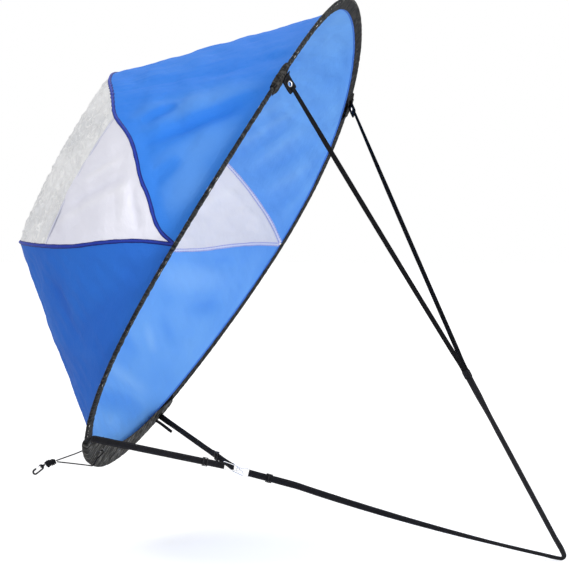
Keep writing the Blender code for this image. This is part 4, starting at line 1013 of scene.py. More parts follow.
lower_lines = [
    ((-0.48, 0.84), (-0.50, 0.44), -0.0048, 0.0253),
    ((-0.97, 0.5), (-0.45, 0.90), 0.0037, 0.023),
    ((-0.80, 0.3), (-0.42, 0.42), -0.0043, 0.0253),
    ((-0.62, 0.1), (-0.22, 0.62), 0.0037, 0.023),
    ((-0.40, 0.05), (-0.12, 0.80), -0.0034, 0.023),
    ((-0.20, 0.95), (-0.10, 0.10), 0.0031, 0.0184),
    ((-0.04, 0.28), (0.30, 0.11), -0.0061, 0.033),
    ((-0.06, 0.08), (0.34, 0.04), -0.0037, 0.03),
    ((0.05, 0.12), (0.15, 0.12), 0.0048, 0.0138),
    ((0.17, 0.44), (0.36, 0.06), 0.0042, 0.027),
    ((0.26, 0.62), (0.36, 0.30), -0.0042, 0.027),
    ((0.44, 0.50), (0.42, 0.28), 0.0044, 0.0195),
    ((0.50, 0.52), (0.50, 0.22), -0.0037, 0.024),
    ((0.52, 0.80), (0.80, 0.42), 0.0049, 0.045),
    ((0.58, 0.45), (0.76, 0.18), -0.0044, 0.027),
    ((0.72, 0.92), (0.84, 0.60), -0.0035, 0.021),
    ((0.40, 0.92), (0.50, 0.72), -0.0037, 0.027),
]
blue_seam = (0.012, 0.05, 0.40)
sail_blue_out = nylon_look(
    "blue_nylon_outside", (0.042, 0.225, 0.77), (0.026, 0.195, 0.76), (0.125, 0.330, 0.78), blue_seam, 0.0035
)
# The lower band's outside: the same blue nylon, darker as painted shade, for it faces down
shaded_low_blue_out = nylon_look(
    "shaded_blue_nylon_outside",
    (0.030, 0.168, 0.66), (0.024, 0.125, 0.57), (0.060, 0.225, 0.72), blue_seam, 0.0035,
)
# The inside of the blue bands: the same nylon, lighter as painted light shining through the cloth
backlit_blue_in = nylon_look(
    "backlit_blue_nylon_inside",
    (0.170, 0.420, 0.88), (0.075, 0.28, 0.80), (0.26, 0.52, 0.92), (0.05, 0.16, 0.60), 0.004,
)


def dense_shares(start, stop, step):
    """Shares of the half turn about a step of metres apart."""
    count = int(round(abs(stop - start) * math.pi / 2 * side_reach / step))
    return np.linspace(start, stop, count + 1)


def sail_band(name, node, band, lines, looks, seed, start=-band_end_share, stop=band_end_share):
    """A band of the sail as a dense thin sheet, with its folds, soft ripples and a fine crinkle."""
    share = dense_shares(start, stop, 0.0045)[:, None]
    down = np.linspace(*thread_ends, 111)[None, :]
    share, down = np.broadcast_arrays(share, down)
    surface = band_surface(share, down, band)
    nearest = edge_distance(surface)[0]
    free = np.clip(nearest / 0.03, 0, 1) * np.clip((band_end_share - np.abs(share)) / 0.03, 0, 1)
    folds = fold_lines(surface, band, lines) * free
    soft = 0.0018 * ripples(surface, 0.10, seed + 1) + 0.0011 * ripples(surface, 0.05, seed + 2)
    crumple = folds + soft * free
    crumple += 0.0004 * ripples(surface, 0.026, seed) * (0.25 + 0.75 * free)
    piece = cloth_shell(name, surface, looks, crumple, folds)
    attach(piece, "hoop_and_lines")
    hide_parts(node)
    return piece


upper_blue = sail_band(
    "upper_blue_cloth", "upper_blue_panel", upper_band, upper_lines,
    [sail_blue_out, backlit_blue_in], 11,
)
lower_blue = sail_band(
    "lower_blue_cloth", "lower_blue_panel", lower_band, lower_lines,
    [shaded_low_blue_out, backlit_blue_in], 12,
)

# ------------------------------
# White band: a plain white side piece at each end of it, of the same nylon, and between them the
# window of clear, milky film, which stays crinkled from being packed small.
far_side_lines = [
    ((0.97, 0.5), (0.60, 0.15), 0.0051, 0.016),
    ((0.95, 0.6), (0.56, 0.55), -0.0041, 0.016),
    ((0.92, 0.8), (0.58, 0.90), 0.0044, 0.014),
    ((0.75, 0.1), (0.60, 0.75), 0.0034, 0.014),
]
near_side_lines = [
    ((-0.53, 0.86), (-0.78, 0.08), 0.0052, 0.012),
    ((-0.55, 0.70), (-0.73, 0.14), -0.0050, 0.010),
    ((-0.56, 0.50), (-0.68, 0.10), 0.0042, 0.010),
    ((-0.72, 0.22), (-0.83, 0.82), 0.0024, 0.014),
    ((-0.76, 0.15), (-0.88, 0.78), -0.0040, 0.010),
    ((-0.56, 0.92), (-0.90, 0.90), -0.0030, 0.012),
]
sail_white_out = nylon_look(
    "white_nylon_outside",
    (0.85, 0.85, 0.94), (0.78, 0.785, 0.90), (0.92, 0.92, 0.97), (0.66, 0.68, 0.85), 0.004,
)
# The inside of the white side pieces: the same nylon, greyer and darker as painted shade
shaded_white_in = nylon_look(
    "shaded_white_nylon_inside",
    (0.80, 0.785, 0.81), (0.72, 0.71, 0.76), (0.89, 0.88, 0.89), (0.74, 0.73, 0.84), 0.004,
)
near_white = sail_band(
    "near_white_cloth", "near_white_panel", middle_band, near_side_lines, [sail_white_out, shaded_white_in],
    13, -band_end_share, -window_half_share,
)
far_white = sail_band(
    "far_white_cloth", "far_white_panel", middle_band, far_side_lines, [sail_white_out, shaded_white_in],
    14, window_half_share, band_end_share,
)


def film_look():
    """Milky clear film: pale and a little see-through, with white crease lines and bright crinkles.

    The crease lines are where two stretched noises cross their middle value.
    """
    look, tree, shader = new_look("milky_window_film", 0.34)
    place = uv_parts(tree)[0]
    lines = []
    for scale, detail in ((14.0, 3.0), (38.0, 2.0)):
        value = noise_node(tree, place, scale, detail, 0.6)
        off = sum_node(tree, "ABSOLUTE", sum_node(tree, "SUBTRACT", value, 0.5))
        lines.append(range_node(tree, off, 0.022, 0.0))
    crease = sum_node(tree, "MAXIMUM", *lines)
    haze = range_node(tree, noise_node(tree, place, 9.0, 3.0, 0.6), 0.3, 0.7)
    colour = blend_node(tree, haze, (0.80, 0.81, 0.83), (0.90, 0.905, 0.92))
    colour = blend_node(tree, sum_node(tree, "MULTIPLY", crease, 0.8), colour, (0.97, 0.97, 0.97))
    clear = range_node(tree, sum_node(tree, "MAXIMUM", crease, haze), 0.0, 1.0, 0.86, 0.98)
    tree.links.new(clear, shader.inputs["Alpha"])
    crinkle = noise_node(tree, place, 34.0, 5.0, 0.62)
    dress_shader(tree, shader, colour, sum_node(tree, "MULTIPLY_ADD", crease, 0.25, crinkle), 0.0022)
    return look


window_film = film_look()


def crumpled(places, size, seed):
    """Sharp creases between flat facets, from 0 to 1: one less the size of smooth waves, twice over."""
    coarse = 1 - np.abs(ripples(places, size, seed))
    fine = 1 - np.abs(ripples(places, size * 0.45, seed + 50))
    return 0.65 * coarse + 0.35 * fine


window_share = dense_shares(-window_half_share, window_half_share, 0.0034)[:, None]
window_down = np.linspace(*thread_ends, 121)[None, :]
window_share, window_down = np.broadcast_arrays(window_share, window_down)
window_surface = band_surface(window_share, window_down, middle_band)
window_free = np.clip(edge_distance(window_surface)[0] / 0.02, 0, 1)
window_free = window_free * np.clip((window_half_share - np.abs(window_share)) / 0.02, 0, 1)
window_crumple = 0.0090 * (crumpled(window_surface, 0.075, 21) - 0.62)
window_crumple += 0.0032 * (crumpled(window_surface, 0.030, 23) - 0.6)
window_crumple = window_crumple * window_free
window = cloth_shell(
    "window_film_sheet", window_surface, [window_film, window_film], window_crumple, window_crumple
)
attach(window, "hoop_and_lines")
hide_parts("window_panel")

# ------------------------------
# Seam bindings and hems: a 7 mm royal blue tape folded over each long seam outside, sewn down both
# edges and puckered by the sewing, and inside the same seam the turned white hem with blue thread.
binding_width = 0.0074
hem_width = 0.008
binding_end_share = 89.4 / 90
tape_steps = 417


def tape_look(name, middle, edge, half_width, thread, dash=0.003):
    """A narrow woven tape: darker along both edges, cross ribs, and a row of stitches at each edge."""
    look, tree, shader = new_look(name, 0.62)
    place, *spot = uv_parts(tree)
    reach = sum_node(tree, "DIVIDE", sum_node(tree, "ABSOLUTE", spot[1]), half_width)
    wander = noise_node(tree, place, 140.0, 2.0)
    border = range_node(tree, sum_node(tree, "MULTIPLY_ADD", wander, 0.5, reach), 0.55, 0.92)
    colour = blend_node(tree, border, middle, edge)
    ribs = weave(tree, place, 1300.0)
    colour = blend_node(tree, sum_node(tree, "MULTIPLY", ribs, 0.22), colour, edge)
    height = sum_node(tree, "MULTIPLY", ribs, 0.3)
    rows = (-0.68 * half_width, 0.68 * half_width)
    colour, height = sewn_rows(tree, spot, rows, colour, height, thread, 0.6, 0.5, dash)
    dress_shader(tree, shader, colour, height, 0.0004, 0.2)
    return look


def seam_faces(share, seam, upper_side, lower_side):
    """Points of a seam with the directions into both bands and both outward normals.

    Each direction is the band's thread less its part along the seam, and each normal is their cross
    product, turned out of the bag.
    """
    point = seam(share)
    tangent = unit(np.gradient(point, axis=0))
    away = point - bag_middle
    found = []
    for band, downs in (upper_side, lower_side):
        ends = [band_surface(share, np.full_like(share, down), band) for down in downs]
        thread = ends[1] - ends[0]
        normal = unit(np.cross(tangent, thread))
        normal = normal * np.sign((normal * away).sum(axis=1, keepdims=True))
        found.append((unit(thread - (thread * tangent).sum(axis=1, keepdims=True) * tangent), normal))
    return point, found


def folded_tape(name, seam, upper_side, lower_side, width, look, face, rise, seed):
    """A tape folded over a seam: a closed section of two wings, soft at the fold, carried along it.

    Wing points lie between the seam and half the width into each band, a little off the cloth. The
    width and the height of the fold wander as sums of waves, as sewn tape puckers.
    """
    share = np.linspace(-binding_end_share, binding_end_share, tape_steps)
    point, ((into_a, normal_a), (into_b, normal_b)) = seam_faces(share, seam, upper_side, lower_side)
    middle = unit(normal_a + normal_b)
    place = path_length(point)
    line = np.stack([place, place * 0, place * 0], axis=1)
    wide = width / 2 * (1 + 0.10 * ripples(line, 0.020, seed)) [:, None]
    tall = rise * (1 + 0.35 * ripples(line, 0.013, seed + 1))[:, None]
    low = face * (cloth_half + 0.0002)
    high = low + face * 0.0005
    section = [
        point + into_a * wide + normal_a * low,
        point + into_a * wide + normal_a * high,
        point + into_a * wide * 0.72 + normal_a * (high + face * tall * 0.30),
        point + into_a * wide * 0.34 + normal_a * (high + face * tall * 0.72),
        point + middle * (high + face * tall * 1.05),
        point + into_b * wide * 0.34 + normal_b * (high + face * tall * 0.72),
        point + into_b * wide * 0.72 + normal_b * (high + face * tall * 0.30),
        point + into_b * wide + normal_b * high,
        point + into_b * wide + normal_b * low,
        point + middle * low,
    ]
    over = np.array([-1, -0.98, -0.72, -0.34, 0, 0.34, 0.72, 0.98, 1, 0, -1]) * (width / 2)
    piece = skin(name, np.stack(section, axis=1), uv_grid(place, over), look)
    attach(piece, "hoop_and_lines")
    return piece


royal_binding = tape_look(
    "royal_blue_binding", (0.020, 0.050, 0.40), (0.006, 0.010, 0.135), binding_width / 2, (0.012, 0.02, 0.22)
)
white_hem = tape_look(
    "white_turned_hem", (0.72, 0.73, 0.86), (0.55, 0.57, 0.80), hem_width / 2, (0.13, 0.12, 0.62), 0.0062
)
# Both bands at each seam, as where the band's thread starts at the seam and a little way into it
top_sides = ((upper_band, (1.0, 0.9)), (middle_band, (0.0, 0.1)))
low_sides = ((middle_band, (1.0, 0.9)), (lower_band, (1.0, 0.9)))
for level, seam, (first, second), seed in (
    ("upper", upper_seam, top_sides, 31), ("lower", lower_seam, low_sides, 35)
):
    binding = folded_tape(
        f"{level}_seam_binding_tape", seam, first, second, binding_width, royal_binding, 1, 0.0012, seed
    )
    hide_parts(f"{level}_seam_binding")
    hem = folded_tape(
        f"{level}_seam_hem_fold", seam, first, second, hem_width, white_hem, -1, 0.0007, seed + 2
    )
    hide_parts(f"{level}_seam_hem")

# ------------------------------
# Window tapes: a white tape sewn over each join of film and side piece, outside, from seam to seam.
# It covers the needle holes in the film and puckers a little with it.
window_tape_width = 0.0075
both_sides = (("near", -1), ("far", 1))
white_tape = tape_look(
    "white_window_tape", (0.76, 0.765, 0.86), (0.60, 0.61, 0.76), window_tape_width / 2, (0.80, 0.80, 0.90)
)
for side_name, sign in both_sides:
    tape_down = np.linspace(0.012, 0.988, 120)
    reach = window_tape_width / 2 / (side_reach * math.pi / 2)
    wander = 1 + 0.12 * ripples(np.stack([tape_down * 0.4, tape_down * 0], axis=1), 0.02, 41 + sign)
    over = np.array([-1, -0.9, -0.45, 0.0, 0.45, 0.9, 1.0])
    tape_share = sign * (window_half_share + reach * (over[None, :] * wander[:, None] + 1))
    tape_downs = np.broadcast_to(tape_down[:, None], tape_share.shape)
    tape_surface = band_surface(tape_share, tape_downs, middle_band)
    tape_normal = outward(tape_surface)
    high = 0.0011 + 0.0005 * ripples(tape_surface, 0.016, 43 + sign)[..., None]
    high = high * np.array([0.7, 0.9, 1, 1, 1, 0.9, 0.7])[None, :, None]
    tape_under = tape_surface + 0.0004 * tape_normal
    tape_grid = np.concatenate([tape_surface + high * tape_normal, tape_under[:, ::-1]], axis=1)
    tape_place = path_length(tape_surface[:, 3])
    tape_over = np.concatenate([over, over[::-1], over[:1]]) * window_tape_width / 2
    tape_uv = uv_grid(tape_place, tape_over)
    window_tape = skin(f"{side_name}_window_tape_strip", tape_grid, tape_uv, white_tape)
    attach(window_tape, "hoop_and_lines")
    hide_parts(f"{side_name}_window_tape")

# ------------------------------
# Patches on the hoop: a long base patch and a short band at each upper side, of doubled black
# polyester folded over the sleeve's outer edge and stitched through. The base patch's front flap
# reaches past the sleeve and carries the three eyelets.
patch_cloth = 0.0012
patch_lift = sleeve_thickness / 2 + 0.0003
patch_taper = 0.016
hoop_step = 2 * math.pi / 92
base_far_end = 10 * hoop_step
base_near_end = math.radians(31.0)
base_flap = 0.054
lug_angle = math.radians(50.3)
lug_half = 0.064 / 2 / hoop_radius
lug_flap = 0.0275
eyelet_angles = {"near": -15.5, "middle": 5.0, "far": 26.0}
eyelet_bore = 0.005
eyelet_radius_place = hoop_radius - sleeve_width - 0.006
# The patch's third colour, a light grey, is painted highlight on the crests of its wrinkles
patch_colours = ((0.003, 0.003, 0.003), (0.060, 0.059, 0.055), (0.27, 0.265, 0.25), 48.0)
patch_sheen = sleeve_look("black_patch_cloth", [0.004, 0.030, 0.0475, 0.050, 0.086], *patch_colours)


def patch_section(front_reach, back_reach, inward, count):
    """A patch's section round the sleeve: front flap, rounded outer rim, back flap, then back inside.

    Given as radius and offset from the hoop's surface, with the distance along the cloth. inward is
    0 at the patch's ends, where it lies on the sleeve, and 1 where it stands at its full lift.
    """
    rim = hoop_radius + 0.0003 + patch_cloth
    turn = np.linspace(0, 1, 9)[1:-1]
    radius = np.concatenate(
        [
            np.linspace(hoop_radius - front_reach, rim - 0.004, count),
            rim - 0.004 + 0.004 * np.sin(math.pi * turn) ** 0.55,
            np.linspace(rim - 0.004, hoop_radius - back_reach, count),
        ]
    )
    face = np.concatenate([np.full(count, -1.0), -np.cos(math.pi * turn), np.full(count, 1.0)])
    rest = half_sleeve((radius - sleeve_middle) / (sleeve_width / 2))[0] + 0.0004
    lift = rest + (patch_lift - rest) * inward
    offset = face * (lift + patch_cloth)
    run = np.concatenate([[0], np.cumsum(np.hypot(np.diff(radius), np.diff(offset)))])
    inner_radius = np.where(radius > rim - 0.0042, radius - patch_cloth, radius)
    inner_radius[0], inner_radius[-1] = radius[0], radius[-1]
    return radius, offset, run, inner_radius, face * lift


def hoop_patch(name, start, stop, front_reaches, back_reach, look, seed, wrinkle):
    """A patch carried round a stretch of the hoop, its faces wrinkled and its edges a little uneven.

    front_reaches gives the front flap's width at each angle. Its cloth is marked out as if the flap
    were as wide as at its widest all the way. Towards both ends it comes down on to the sleeve.
    """
    theta = np.linspace(start, stop, int(abs(stop - start) * hoop_radius / 0.0018))
    reaches = front_reaches(theta)
    inward = smooth_step(np.minimum(theta - theta.min(), theta.max() - theta) * hoop_radius / patch_taper)
    sections = [patch_section(reach, back_reach, share, 15) for reach, share in zip(reaches, inward)]
    radius, offset, run, inner_radius, inner_offset = (np.array(part) for part in zip(*sections))
    run = run[np.argmax(reaches)]
    place = uv_grid(theta * hoop_radius, run * 0.8)
    drawn = wrinkle * ripples(place, 0.018, seed) + 0.4 * wrinkle * ripples(place, 0.008, seed + 1)
    raised = offset + drawn * np.sign(offset) * (np.abs(offset) > 0.003)
    outer = hoop_point(theta[:, None], radius + drawn * 0.3, raised)
    inner = hoop_point(theta[:, None], inner_radius[:, ::-1], inner_offset[:, ::-1])
    uv = uv_grid(theta * hoop_radius, np.concatenate([run, run[::-1], run[:1]]))
    return skin(name, np.concatenate([outer, inner], axis=1), uv, look)


def base_reaches(theta):
    """Width of the base patch's front flap: full over the eyelets, cut back towards both ends."""
    place = np.degrees(math.pi - theta)
    return np.interp(place, [-31, -21, 27.5, 37], [0.016, base_flap, base_flap, sleeve_width])


def post_cutter(places, axis_of, radius, length):
    """One mesh of round posts, each centred on a place and turned to its axis, to cut holes with."""
    shell = bmesh.new()
    for place, axis in zip(places, axis_of):
        turn = Vector(axis).to_track_quat("Z", "Y").to_matrix().to_4x4()
        turn.translation = Vector(place)
        bmesh.ops.create_cone(
            shell, cap_ends=True, segments=24, radius1=radius, radius2=radius, depth=length, matrix=turn
        )
    mesh = bpy.data.meshes.new("post_cutter")
    shell.to_mesh(mesh)
    shell.free()
    return new_object("post_cutter", mesh)


def holed(piece, cutter):
    """Cuts the posts out of a piece and keeps the result as its own mesh."""
    hole = piece.modifiers.new("holes", "BOOLEAN")
    hole.operation = "DIFFERENCE"
    hole.solver = "EXACT"
    hole.object = cutter
    shaped = piece.evaluated_get(bpy.context.evaluated_depsgraph_get())
    mesh = bpy.data.meshes.new_from_object(shaped)
    piece.modifiers.clear()
    piece.data = mesh
    bpy.data.objects.remove(cutter)


base_patch = hoop_patch(
    "base_patch_cloth", math.pi - base_far_end, math.pi + base_near_end, base_reaches, sleeve_width,
    patch_sheen, 51, 0.00034,
)
eyelet_thetas = {side: math.pi - math.radians(angle) for side, angle in eyelet_angles.items()}
eyelet_places = {
    side: hoop_point(np.array(theta), eyelet_radius_place, -(patch_lift + patch_cloth / 2))
    for side, theta in eyelet_thetas.items()
}
holed(base_patch, post_cutter(eyelet_places.values(), [out_back] * 3, eyelet_bore / 2 + 0.0009, 0.006))
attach(base_patch, "hoop_and_lines")
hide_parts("base_patch")
# The lug cloth's third colour is painted highlight on the crests of its wrinkles
lug_cloth = sleeve_look(
    "black_lug_cloth", [0.003, 0.0255, 0.0305, 0.054],
    (0.004, 0.004, 0.005), (0.030, 0.029, 0.027), (0.10, 0.098, 0.092),
)
for side_name, sign in both_sides:
    band = hoop_patch(
        f"{side_name}_lug_band_cloth", sign * lug_angle - lug_half, sign * lug_angle + lug_half,
        lambda theta: np.full(theta.shape, lug_flap), lug_flap, lug_cloth, 55 + sign, 0.00026,
    )
    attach(band, "hoop_and_lines")
    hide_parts(f"{side_name}_lug_band")

# ------------------------------
# Eyelets: rolled rings of plated steel, rubbed bright round the bore and dark on the flange. A lip
# rolls from the barrel out over each face of the cloth. Three sit in the base patch, one in each tab.
eyelet_flange = 0.010
lip_rise = 0.0007


def rolled_eyelet(name, node, middle, axis, bore, flange, grip, look):
    """A closed ring section turned about the axis: an arc over each flange and a straight barrel."""
    lip = (flange - bore) / 4
    turn = np.linspace(0, math.pi, 11)
    rise = lip_rise * np.sin(turn)
    out = bore / 2 + lip * (1 - np.cos(turn))
    top = np.stack([out, grip + rise], axis=1)
    under = np.array([[flange / 2, grip - 0.0001], [bore / 2 + 0.0006, grip - 0.0001]])
    section = np.vstack([top, under, under[::-1] * (1, -1), top[::-1] * (1, -1)])
    side = unit(np.cross(axis, (0.0, 0.3, 1.0)))
    square = np.cross(axis, side)
    spin = np.linspace(0, 2 * math.pi, 41)[:-1, None]
    ray = np.cos(spin) * side + np.sin(spin) * square
    grid = middle + section[None, :, :1] * ray[:, None, :] + section[None, :, 1:] * np.asarray(axis)
    around = path_length(section, True)
    around = np.minimum(around, around[-1] - around)
    ring = skin(name, grid, uv_grid(np.linspace(0, 2 * math.pi * bore, 41), around), look, True)
    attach(ring, "hoop_and_lines")
    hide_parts(node)


eyelet_metal = metal_look("bright_eyelet_plate", (0.84, 0.84, 0.86), 0.25, (0.0011, 0.0018))
for side_name, place in eyelet_places.items():
    rolled_eyelet(
        f"{side_name}_base_eyelet_ring", f"{side_name}_base_eyelet", place, out_back,
        eyelet_bore, eyelet_flange, patch_cloth / 2 + 0.0003, eyelet_metal,
    )

# ------------------------------
# Lug tabs: 25 mm webbing sewn flat to each lug band, bent off it towards the bridle, with a round
# eyelet through its free end. The outline is cut with eased corners and heat sealed.
tab_angle = math.radians(48.8)
tab_width = 0.025
tab_thickness = 0.0022
tab_flat_length = 0.010
tab_bend_depth = 0.016
tab_bend_radius = 0.007
tab_free_length = 0.026
tab_eyelet_place = 0.0095
tab_bore = 0.009
tab_eyelet_flange = 0.0145
branch_width = 0.010
branch_thickness = 0.0015
fork_stack_step = 0.0019
fork_spread = 0.0020
fork = np.array([0.7521, 0.0, 0.1976])


def webbing_look(name, half_width, ribs, rows=(), tone=1.0):
    """Woven nylon webbing: cross ribs in two staggered files, fuzzy edges and rows of stitches.

    Each rib is a sine along the strap whose phase shifts by half between neighbouring files of warp.
    tone lightens or darkens the weave's colours.
    """
    weave_colours = (
        (0.004, 0.004, 0.0055), (0.022, 0.022, 0.026), (0.026, 0.026, 0.030), (0.015, 0.015, 0.018)
    )
    dark, light, rubbed, selvage = (tuple(tone * part for part in colour) for colour in weave_colours)
    look, tree, shader = new_look(name, 0.66)
    place, along, over = uv_parts(tree)
    file = sum_node(tree, "SINE", sum_node(tree, "MULTIPLY", over, 2 * math.pi * 900.0))
    shift = sum_node(tree, "MULTIPLY", sum_node(tree, "GREATER_THAN", file, 0.0), math.pi)
    beat = sum_node(tree, "ADD", sum_node(tree, "MULTIPLY", along, 2 * math.pi * ribs), shift)
    rib = sum_node(tree, "MULTIPLY_ADD", sum_node(tree, "SINE", beat), 0.5, 0.5)
    fuzz = noise_node(tree, place, 700.0, 3.0, 0.7)
    wear = range_node(tree, noise_node(tree, place, 42.0, 3.0, 0.6), 0.35, 0.7)
    edge = range_node(tree, sum_node(tree, "ABSOLUTE", over), half_width * 0.86, half_width * 0.98)
    shade = sum_node(tree, "MULTIPLY", rib, sum_node(tree, "ADD", fuzz, 0.2))
    colour = blend_node(tree, shade, dark, light)
    colour = blend_node(tree, sum_node(tree, "MULTIPLY", wear, 0.30), colour, rubbed)
    colour = blend_node(tree, sum_node(tree, "MULTIPLY", edge, 0.6), colour, selvage)
    height = sum_node(tree, "MULTIPLY_ADD", rib, 0.8, sum_node(tree, "MULTIPLY", fuzz, 0.3))
    thread = (0.050, 0.050, 0.055)
    spot = (along, over)
    colour, height = sewn_rows(tree, spot, rows, colour, height, thread, 0.5, 0.6, 0.0028, 0.00035)
    dress_shader(tree, shader, colour, height, 0.0003, 0.06)
    return look


def lug_lines(sign):
    """A lug's path, its width direction and where its tab leaves: flat on the band, then bent over.

    The bend is an arc that turns the inward direction towards the fork, and the free end runs
    straight from it.
    """
    theta = sign * tab_angle
    out = math.cos(theta) * up_hoop + math.sin(theta) * across
    lift = -(sleeve_thickness / 2 + base_cloth + 0.0006 + tab_thickness / 2)
    start = hoop_point(np.array(theta), hoop_radius - tab_bend_depth + tab_flat_length, lift)
    corner = start - out * tab_flat_length
    pull = unit(np.array([fork[0], sign * fork_stack_step, fork[2]]) - corner)
    inward = -out
    turn = math.acos(float(np.clip(inward @ pull, -1, 1)))
    square = unit(pull - (pull @ inward) * inward)
    centre = corner + square * tab_bend_radius
    bend = arc(centre, -square, inward, tab_bend_radius, 0.0, turn, 5)
    leave = math.cos(turn) * inward + math.sin(turn) * square
    width = unit(
        hoop_point(np.array(theta + hoop_step / 8), sleeve_middle)
        - hoop_point(np.array(theta - hoop_step / 8), sleeve_middle)
    )
    path = np.vstack([start[None], bend, (bend[-1] + leave * tab_free_length)[None]])
    return path, width, bend[-1], leave


def tab_sheet(run, over, path, side):
    """Points and face directions of the tab at these distances along and across its path."""
    line = smooth_line(path, 0.0008)
    _, sides, face = sides_along(line, side)
    place = path_length(line)
    spot = np.stack([np.interp(run, place, line[:, k]) for k in range(3)], axis=-1)
    wide = np.stack([np.interp(run, place, sides[:, k]) for k in range(3)], axis=-1)
    out = np.stack([np.interp(run, place, face[:, k]) for k in range(3)], axis=-1)
    return spot + over[..., None] * unit(wide), unit(out), place[-1]


def lug_tab(side_name, sign, look):
    """The tab as rings between its eyelet's hole and its outline, a face above and a face below.

    The outline is a squared oval about the hole, reaching to the tab's root one way and to its tip
    the other. Rings run evenly from the hole's circle to it.
    """
    path, width, bend_end, leave = lug_lines(sign)
    total = path_length(smooth_line(path, 0.0008))[-1]
    hole_run = total - tab_free_length + tab_eyelet_place
    turn = np.linspace(0, 2 * math.pi, 97)[:-1]
    cosine, sine = np.cos(turn), np.sin(turn)
    reach = np.where(cosine > 0, total - hole_run, hole_run)
    outline_run = squared(cosine, 0.28) * (reach - 0.0001)
    outline_over = squared(sine, 0.28) * tab_width / 2
    grow = np.linspace(0, 1, 42)[:, None]
    bore = tab_bore / 2 + 0.0007
    run = hole_run + (1 - grow) * bore * cosine + grow * outline_run
    over = (1 - grow) * bore * sine + grow * outline_over
    sheet, out, total = tab_sheet(run, over, path, width)
    thick = tab_thickness / 2 * (1 - 0.5 * np.clip((grow - 0.97) / 0.03, 0, 1))
    rings = np.concatenate([sheet + out * thick[..., None], (sheet - out * thick[..., None])[::-1]])
    places = np.stack([run, over], axis=-1)
    places = np.concatenate([places, places[::-1], places[:1]])
    uv = np.concatenate([places, places[:, :1]], axis=1)
    tab = skin(f"{side_name}_lug_tab_webbing", rings, uv, look, True)
    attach(tab, "hoop_and_lines")
    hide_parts(f"{side_name}_lug_tab")
    side = unit(width - (width @ leave) * leave)
    return bend_end + leave * tab_eyelet_place, np.cross(leave, side)


tab_webbing = webbing_look("black_tab_webbing", tab_width / 2, 480.0, (-0.0095, 0.0095), 0.6)
for side_name, sign in both_sides:
    place, axis = lug_tab(side_name, sign, tab_webbing)
    rolled_eyelet(
        f"{side_name}_lug_eyelet_ring", f"{side_name}_lug_eyelet", place, axis,
        tab_bore, tab_eyelet_flange, tab_thickness / 2 + 0.0003, eyelet_metal,
    )

# ------------------------------
# Bridle branches: two 10 mm webbing lines, one sewn to the face of each lug tab, that run to the
# fork. Each turns over on its way and sags a little under its own weight.
turn_point = np.array([0.946, 0.0, -0.168])
fork_down = unit(turn_point - fork)
fork_square = np.cross(fork_down, across)
fork_patch_length = 0.022
branch_overlap = 0.0085
branch_sag = 0.002
branch_webbing = webbing_look("black_branch_webbing", branch_width / 2, 700.0, (), 0.4)


def flat_strap(name, stops, wish, width, thickness, look, step, seed):
    """A flat woven strap down a path: a rounded flat section, its width along the wished direction.

    The section's corners are a squared oval. Its width wanders by a small share, and its two ends
    are drawn in a little, as heat sealed webbing is.
    """
    line = smooth_line(np.hstack([stops, np.broadcast_to(wish, stops.shape)]), step)
    points, side = line[:, :3], line[:, 3:]
    place = path_length(points)
    turn = np.arange(16) * 2 * math.pi / 16 + math.pi / 16
    flat = squared(np.cos(turn), 0.35) * width / 2
    lift = squared(np.sin(turn), 0.6) * thickness / 2
    near_end = np.clip(np.minimum(place, place[-1] - place) / 0.0012, 0.0, 1.0)
    size = 0.93 + 0.07 * near_end
    size = size * (0.985 + 0.015 * ripples(place[:, None], 0.06, seed))
    thin = 0.8 + 0.2 * near_end
    section = np.stack([flat[None, :] * size[:, None], lift[None, :] * thin[:, None]], axis=-1)
    uv = uv_grid(place, np.append(flat, flat[0]))
    strap = skin(name, carried(points, side, section), uv, look)
    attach(strap, "hoop_and_lines")
    return strap


for side_name, sign in both_sides:
    path, width, bend_end, leave = lug_lines(sign)
    tab_side = unit(width - (width @ leave) * leave)
    face = np.cross(leave, tab_side)
    face = face * np.sign(face @ -out_back)
    lift = face * (tab_thickness / 2 + 0.0003 + branch_thickness / 2)
    sewn_start = path[-1] - leave * branch_overlap + lift
    sewn_end = path[-1] + lift
    branch_end = fork + sign * (across * fork_stack_step + fork_square * fork_spread)
    mouth = branch_end - fork_down * fork_patch_length * 0.4
    inside = branch_end + fork_down * fork_patch_length * 0.45
    run = straight(sewn_end, mouth, 13, branch_sag)
    stops = np.vstack([sewn_start[None], run, inside[None]])
    turned = np.linspace(0, 1, len(stops))[:, None]
    turned = np.interp(turned, [0.05, 0.35, 0.85, 1.0], [0.0, 0.8, 0.85, 1.0])
    wish = (1 - turned) * tab_side + turned * fork_square * np.sign(fork_square @ tab_side)
    branch = flat_strap(
        f"{side_name}_bridle_branch_webbing", stops, wish, branch_width, branch_thickness, branch_webbing,
        0.005, 61 + sign,
    )
    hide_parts(f"{side_name}_bridle_branch")

# ------------------------------
# Control strap: one 14 mm strap from the fork down to the turn that the paddler holds, round it,
# and back with a slight sag to its adjuster. It passes round the middle ring and returns on itself.
strap_width = 0.014
strap_thickness = 0.0013
turn_radius = 0.006
ring_wire = 0.0016
control_ring_length = 0.028
layer_gap = 0.0006
layer_lift = layer_gap / 2 + strap_thickness / 2
loop_lift = ring_wire / 2 + 0.0003 + strap_thickness / 2
ring_joint = np.array([0.2846, 0.0, -0.006])
strap_webbing = webbing_look("black_strap_webbing", strap_width / 2, 620.0, (-0.0048, 0.0048))
control_along = unit(turn_point - ring_joint)
control_base = ring_joint + control_along * (control_ring_length - 0.003)
control_side = np.cross(control_along, across)
control_tail = 0.098
control_sag = 0.008
control_twist = 50.0


